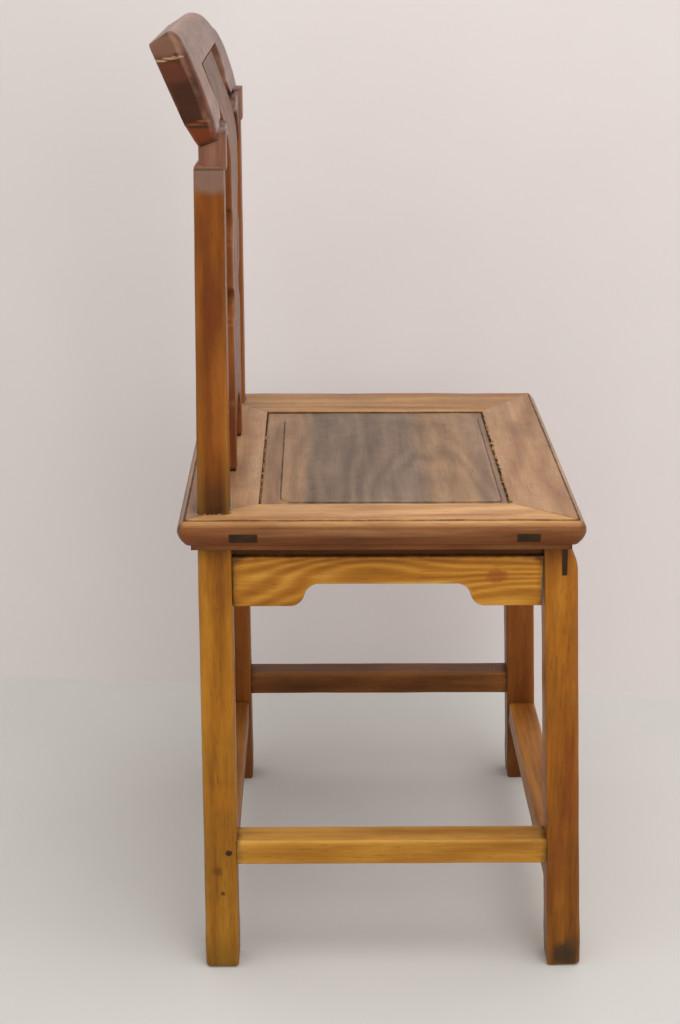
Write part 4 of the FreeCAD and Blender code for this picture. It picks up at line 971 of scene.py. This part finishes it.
PANEL_TOP, PANEL_UNDER = 489.5, 474.2
x = lines(PANEL[0], PANEL[1], (FIELD[0], FIELD[1], PANEL[0], PANEL[1]), 3.2)
y = lines(PANEL[2], PANEL[3], (FIELD[2], FIELD[3], PANEL[2], PANEL[3]), 3.2)
gx, gy = np.meshgrid(x, y, indexing="ij")
away = field_distance(gx, gy)
border = np.minimum(np.minimum(gx - PANEL[0], PANEL[1] - gx), np.minimum(gy - PANEL[2], PANEL[3] - gy))
under = np.stack([gx, gy, np.full_like(gx, PANEL_UNDER)], -1)
scribed = np.exp(-((away - 0.9) / 0.7) ** 2)
top = PANEL_TOP - 1.3 * smooth(-0.4, 0.9, away) - 0.55 * scribed - 0.9 * np.exp(-border / 0.9)
top = top + 0.25 * (ripple(under * (1, 1, 0), 0.8) - 1)
top = top + 0.12 * np.sin(gy * 0.21 + 1.5 * np.sin(gx * 0.015)) * smooth(0, -20, away)
# Darker in the scribed line and round the open joint at the board's edge: dirt, and painted shade.
dirt_and_shade = 0.85 * np.exp(-((away - 0.9) / 0.9) ** 2) + 1.3 * np.exp(-border / 2.4)
panel = slab(np.stack([gx, gy, top], -1), under, 0.5 * np.exp(-((away + 1.2) / 1.2) ** 2),
             np.clip(dirt_and_shade, 0, 1))
piece("seat_panel", panel, panel_wood, ["seat_panel"])
batten = bar((-16.2, -126.0, 466.7), (-16.2, 118.0, 466.7), (31.8, 14.8), (1, 0, 0), 1.2, (0.3, 0.3))
piece("seat_batten", batten, stretcher_wood, ["seat_batten"])

# %% [markdown]
# ## Crest rail
# The crest is a thick board that leans back 20 degrees. Its face swells forward, its ends drop in
# scrolls onto the posts, and its top slopes down to the sitter's left. The outline is drawn on the
# board's own face (x across, s up the slope), and a function tilts it into place.

# %% Crest
TILT = math.radians(20.15)
CREST_Y, CREST_Z = 155.2, 860.2


def crest_point(x, s, t):
    """(x, up the slope, back from the face) to space: y = s sin + t cos, z = s cos - t sin."""
    return np.stack(np.broadcast_arrays(x, CREST_Y + s * math.sin(TILT) + t * math.cos(TILT),
                                        CREST_Z + s * math.cos(TILT) - t * math.sin(TILT)), -1)


def crest_front(s):
    """The face swells forward on an arc of radius 420 about the middle of its height."""
    return -(np.sqrt(420.0 ** 2 - np.clip(s - 29.5, -50.5, 50.5) ** 2) - 416.95)


def crest_back(s):
    """The back: 19.6 mm behind at the foot, 24.2 at the ledge, 28.4 near the top."""
    return np.interp(s, (-20.9, 2.4, 79.0), (19.6, 24.2, 28.4))


def crest_place(flat, side, depth):
    """The face's near edge and top edge are rounded: it drops 9 (1 - sqrt(1 - u^2)) near them."""
    x, s = flat[:, 0], flat[:, 1]
    u = np.minimum(np.hypot(np.clip((-195.7 - x) / 12.0, 0, 1), np.clip((s - 72.0) / 12.5, 0, 1)), 0.97)
    front, back = crest_front(s) + 9.0 * (1 - np.sqrt(1 - u * u)), crest_back(s)
    t = front + depth
    if side:
        s, t = s - 4.0 * smooth(70, 84, s), back - depth
    points = crest_point(x, s, t)
    way = np.array([0, 1, -0.3]) * (1 - 2 * side)
    return points + way * (0.3 * (ripple(points, 1.4) * (1 - 2 * side) + 1))[:, None]


CREST = outline([
    (-206.0, -12.0, 9.0, 1), (-197.0, -20.9), (-166, -20.9, 60.0, -1), (-124, -11, 36.0, 1),
    (-95, 5, 40.0, -1), (-124, 26), (-124, 42), (116, 42), (116, 26, 40.0, -1), (87, 5, 36.0, 1),
    (124, -11, 60.0, -1), (166, -20.9), (190, -20.9, 30.0, 1), (213, 2.4), (213, 30, 60.0, 1),
    (165, 55, 420.0, 1), (5, 83.6), (-200, 83.6, 8.0, 1), (-206.6, 76), (-207.7, 62), (-207.7, 3.0),
    (-205.6, 0.4)], 3.6)
soft_x, soft_s = np.meshgrid([-202.6, -200.6, -198.4, -196.2], np.arange(-16, 80, 4.0))
top_x, top_s = np.meshgrid(np.arange(-192, 120, 5.0), [73.5, 76.0, 78.5, 80.5])
soft = np.stack([np.append(soft_x, top_x), np.append(soft_s, top_s)], -1)
crest = plate([CREST], crest_place, 1.3, 5.0, soft)
# Darker along the lower part of the crest's face and back, not on its ends: dirt, and painted shade.
low = crest["points"][:, 2] < 847
crest["grime_and_shade"] = 0.7 * low * (np.abs(crest["points"][:, 0]) < 201)
piece("crest_rail", crest, crest_wood, ["crest_rail"])

neck = bar((-184.9, 155.3, 814.0), (-184.9, 155.3, 848.0), (31.0, 25.2), (1, 0, 0), 5.0, (0.5, 0.5),
           wave=0.4, dirt_and_shade=(0.2, 0.7))
pair("neck", neck, neck_wood, neck_wood, stands=False)

# %% [markdown]
# ## Brackets and splat
# A small curved bracket fills the corner between each post and the crest. The splat is a thin wide
# board. It stands upright on the seat and then bends back into the plane of the crest, so its
# outline is drawn flat, as length along the board, and rolled round an arc.

# %% Brackets
def bracket_place(flat, side, depth):
    y = np.full(len(flat), 146.2 + (11.6 - depth if side else depth))
    return np.stack([-flat[:, 0], y, flat[:, 1]], -1)


bracket = plate([outline([(87.5, 831.0, 74.0, -1), (167.3, 794.0), (186.0, 794.0), (186.0, 846.0),
                          (96.0, 846.0), (90.5, 839.0)], 3.0)], bracket_place, 0.8, 5.0)
# Darker towards the top, where it meets the crest: dirt, and painted shade under the crest.
bracket["grime_and_shade"] = 0.9 * smooth(838, 848, bracket["points"][:, 2])
pair("neck_bracket", bracket, crest_wood, crest_wood)

# %% Splat
BEND, BEND_START, FACE = 169.0, 798.0, 144.0


def splat_place(flat, side, depth):
    """Straight up to the bend, then an arc of radius 169, then on along the slope."""
    x, h = flat[:, 0], flat[:, 1]
    d = np.where(side, 11.0 - depth, depth)
    angle = np.clip((h - BEND_START) / BEND, 0, TILT)
    beyond = np.maximum(h - BEND_START - BEND * TILT, 0)
    straight = np.minimum(h, BEND_START)
    y = FACE + BEND - (BEND - d) * np.cos(angle) + beyond * np.sin(angle)
    z = straight + (BEND - d) * np.sin(angle) + beyond * np.cos(angle)
    points = np.stack([x, y, z], -1)
    return points + np.array([0, 0.2, 0]) * (1 - 2 * side) * (1 + ripple(points, 3.1))[:, None]


SPLAT = outline([
    (50.0, 490.2), (76.2, 490.2), (76.2, 560.0), (74.3, 562.0), (74.3, 643.0, 34.0, -1),
    (45.0, 664.0, 34.0, -1), (74.3, 678.0), (74.3, 723.0, 17.2, -1), (74.3, 757.0), (74.3, 900.5),
    (-74.3, 900.5), (-74.3, 757.0, 17.2, -1), (-74.3, 723.0), (-74.3, 678.0, 34.0, -1),
    (-45.0, 664.0, 34.0, -1), (-74.3, 643.0), (-74.3, 562.0), (-76.2, 560.0), (-76.2, 490.2),
    (-50.0, 490.2), (-50.0, 516.0, 53.8, -1), (50.0, 516.0)], 3.6)
SLOT = [(-3.5, 689.5), (-3.5, 710.5, 3.8, -1), (3.5, 710.5), (3.5, 689.5, 3.8, -1)]
slots = [outline([(x + at, *rest) for x, *rest in SLOT], 2.4) for at in (-36.0, 36.0)]
splat = plate([SPLAT] + slots, splat_place, 1.4, 6.0)
# Darker at its foot, where it meets the seat: dirt, and painted shade.
splat["grime_and_shade"] = np.clip(np.exp(-(splat["points"][:, 2] - SEAT) / 8.0), 0, 1)
piece("splat", splat, splat_wood, ["splat"])

# %% [markdown]
# ## Tenon ends, filler and crumbs
# The front and rear seat rails pass through the side ones, so dark end grain shows on the nose. Old
# white filler sits round the foot of each post and crumbs of yellow filler lie in the panel's joints.

# %% Tenon ends
NOSE_LINE = rail_profile(RIGHT_W)[:14]
NOSE_LINE = NOSE_LINE[np.argsort(NOSE_LINE[:, 1])]


TENON_LOW, TENON_HIGH = 466.5, 478.3


def tenon_end(y_low, y_high):
    """A patch that follows the nose's profile between two heights, a hair proud of it."""
    gy, gz = np.meshgrid(np.linspace(y_low, y_high, 14), np.linspace(TENON_LOW, TENON_HIGH, 9),
                         indexing="ij")
    rise_y = np.minimum(1, np.minimum(gy - y_low, y_high - gy) * 1.2)
    rise_z = np.minimum(1, np.minimum(gz - TENON_LOW, TENON_HIGH - gz) * 2)
    curve = np.interp(gz, NOSE_LINE[:, 1], NOSE_LINE[:, 0])
    face = np.stack([-HALF_WIDTH + 0.55 + curve - 0.5 * rise_y * rise_z, gy, gz], -1)
    return slab(face, face + (3.0, 0, 0))


ends = joined(tenon_end(117.0, 146.5), tenon_end(-151.5, -127.0))
pair("tenon_ends", ends, dark_wood, dark_wood, stands=False)


# %% Filler and crumbs
def crumbs(centres, sizes, seed):
    """Small closed lumps: a 5 by 6 ball, each point pushed in or out by up to a third."""
    rng = np.random.default_rng(seed)
    up = (np.linspace(-0.5, 0.5, 5) * math.pi * 0.8)[:, None]
    turn = (np.arange(6) * math.pi / 3)[None]
    ball = np.stack(np.broadcast_arrays(np.cos(up) * np.cos(turn), np.cos(up) * np.sin(turn),
                                        np.sin(up)), -1).reshape(-1, 3)
    ball = np.concatenate([ball, [(0, 0, -1.0)], [(0, 0, 1.0)]])
    faces = tube_faces(5, 6)
    made = [shell(c + ball * s * rng.uniform(0.7, 1.25, (len(ball), 1)), faces)
            for c, s in zip(centres, sizes)]
    return joined(*made)


rng = np.random.default_rng(7)
FRONT_CRUMBS, REAR_CRUMBS, FACING_LUMPS, ROUND_LUMPS = 90, 70, 60, 90
along = rng.uniform(-176, 120, FRONT_CRUMBS)
front = np.stack([along, rng.normal(-126.3, 0.8, FRONT_CRUMBS),
                  rng.uniform(488.4, 489.6, FRONT_CRUMBS)], -1)
front_sizes = rng.uniform(0.5, 1.4, (FRONT_CRUMBS, 1)) * (2.2, 1.1, 0.8)
rear = np.stack([rng.uniform(-174, 60, REAR_CRUMBS), rng.normal(117.9, 0.8, REAR_CRUMBS),
                 rng.uniform(487.8, 488.9, REAR_CRUMBS)], -1)
rear_sizes = rng.uniform(0.4, 1.1, (REAR_CRUMBS, 1)) * (2.2, 1.0, 0.7)
piece("joint_crumbs", joined(crumbs(front, front_sizes, 3), crumbs(rear, rear_sizes, 4)),
      filler_yellow)

around = np.concatenate([rng.uniform(0.18, 0.3, FACING_LUMPS), rng.uniform(0, 1, ROUND_LUMPS)]) * 4
lump_count = len(around)
ring_x = np.interp(around, range(5), (-17.2, 17.2, 17.2, -17.2, -17.2))
ring_y = np.interp(around, range(5), (-16.2, -16.2, 16.2, 16.2, -16.2))
lumps = np.stack([ring_x - leg_outer(SEAT) + 16.8, ring_y + 161.0, np.full(lump_count, SEAT)], -1)
lumps += rng.normal(0, 0.25, lumps.shape) * (1, 1, 0.4)
lump_sizes = rng.uniform(0.2, 1.0, (lump_count, 1)) * (1.4, 1.1, 0.5)
base = crumbs(lumps, lump_sizes, 5)
piece("post_filler", joined(base, other_side(base)), filler_white)

# %% [markdown]
# ## Floor, wall, light and camera
# The chair stands on a pale floor close to a pale wall. The wall is a single sheet and is left out
# for a camera behind it, so the chair can be seen from every side.

# %% Floor and wall
def pale(name, colour, one_sided):
    w = Wiring(name)
    place = w.node("ShaderNodeTexCoord").outputs["Object"]
    cloud = w.between(0.35, 0.65, w.noise(place, 1.3, 4.0))
    w.plug(w.shader.inputs["Base Color"],
           w.mix(cloud, tone(*[c - 5 for c in colour]), tone(*colour)))
    w.shader.inputs["Roughness"].default_value = 0.85
    if one_sided:
        seen = w.node("ShaderNodeLightPath").outputs["Is Camera Ray"]
        behind = w.node("ShaderNodeNewGeometry").outputs["Backfacing"]
        clear = w.node("ShaderNodeBsdfTransparent")
        choice = w.node("ShaderNodeMixShader")
        w.plug(choice.inputs[0], w.times(seen, behind))
        w.plug(choice.inputs[1], w.shader.outputs[0])
        w.plug(choice.inputs[2], clear.outputs[0])
        w.plug(w.tree.nodes["Material Output"].inputs["Surface"], choice.outputs[0])
    return w.material


def sheet(name, corners, material):
    mesh = bpy.data.meshes.new(name)
    mesh.from_pydata(corners, [], [tuple(range(len(corners)))])
    mesh.materials.append(material)
    obj = bpy.data.objects.new(name, mesh)
    bpy.context.scene.collection.objects.link(obj)


# The wall's foot crosses the photograph's floor line. It is turned 5 degrees from the chair's side.
foot, way, WALL = np.array([0.469, 0.031]), np.array([0.0867, 1.0]), 4
left, right = foot + way * WALL, foot - way * WALL
sheet("floor", [(-6, -6, 0), (6, -6, 0), (6, 6, 0), (-6, 6, 0)],
      pale("floor_paint", (206, 204, 199), False))
sheet("wall", [(*left, 0), (*right, 0), (*right, WALL), (*left, WALL)],
      pale("wall_paint", (223, 215, 213), True))

# %% Lights
world = bpy.data.worlds.new("room")
bpy.context.scene.world = world
world.use_nodes = True
world.node_tree.nodes["Background"].inputs["Color"].default_value = (1.0, 0.99, 0.985, 1)
world.node_tree.nodes["Background"].inputs["Strength"].default_value = 0.9


def softbox(name, spot, aim, size, power):
    light = bpy.data.lights.new(name, "AREA")
    light.shape, light.size, light.energy = "SQUARE", size, power
    obj = bpy.data.objects.new(name, light)
    obj.matrix_world = Matrix.Translation(spot) @ (
        (Vector(aim) - Vector(spot)).to_track_quat("-Z", "Y").to_matrix().to_4x4())
    bpy.context.scene.collection.objects.link(obj)


softbox("overhead", (-0.6, -0.5, 2.8), (0.0, 0.0, 0.4), 2.2, 26)
softbox("camera_side", (-2.6, -0.9, 1.7), (0.0, 0.0, 0.5), 1.8, 20)

# %% Camera
# The place, the lens and the angles in radians were fitted to the chair's straight edges.
YAW, PITCH, ROLL = -0.0117, 0.3312, 0.0011
LENS, EYE = 64.52, (-1.8676, 0.0591, 1.0613)
ahead0 = np.array([math.cos(YAW), math.sin(YAW), 0])
right0 = np.array([math.sin(YAW), -math.cos(YAW), 0])
ahead = math.cos(PITCH) * ahead0 - math.sin(PITCH) * np.array([0, 0, 1])
up0 = np.cross(right0, ahead)
right_way = math.cos(ROLL) * right0 + math.sin(ROLL) * up0
up_way = -math.sin(ROLL) * right0 + math.cos(ROLL) * up0
lens = bpy.data.cameras.new("camera")
lens.lens, lens.sensor_width = LENS, 36.0
camera = bpy.data.objects.new("camera", lens)
turn = np.eye(4)
turn[:3] = np.stack([right_way, up_way, -ahead, EYE], 1)
camera.matrix_world = Matrix(turn.tolist())
bpy.context.scene.collection.objects.link(camera)
bpy.context.scene.camera = camera
bpy.context.scene.view_settings.view_transform = "Standard"
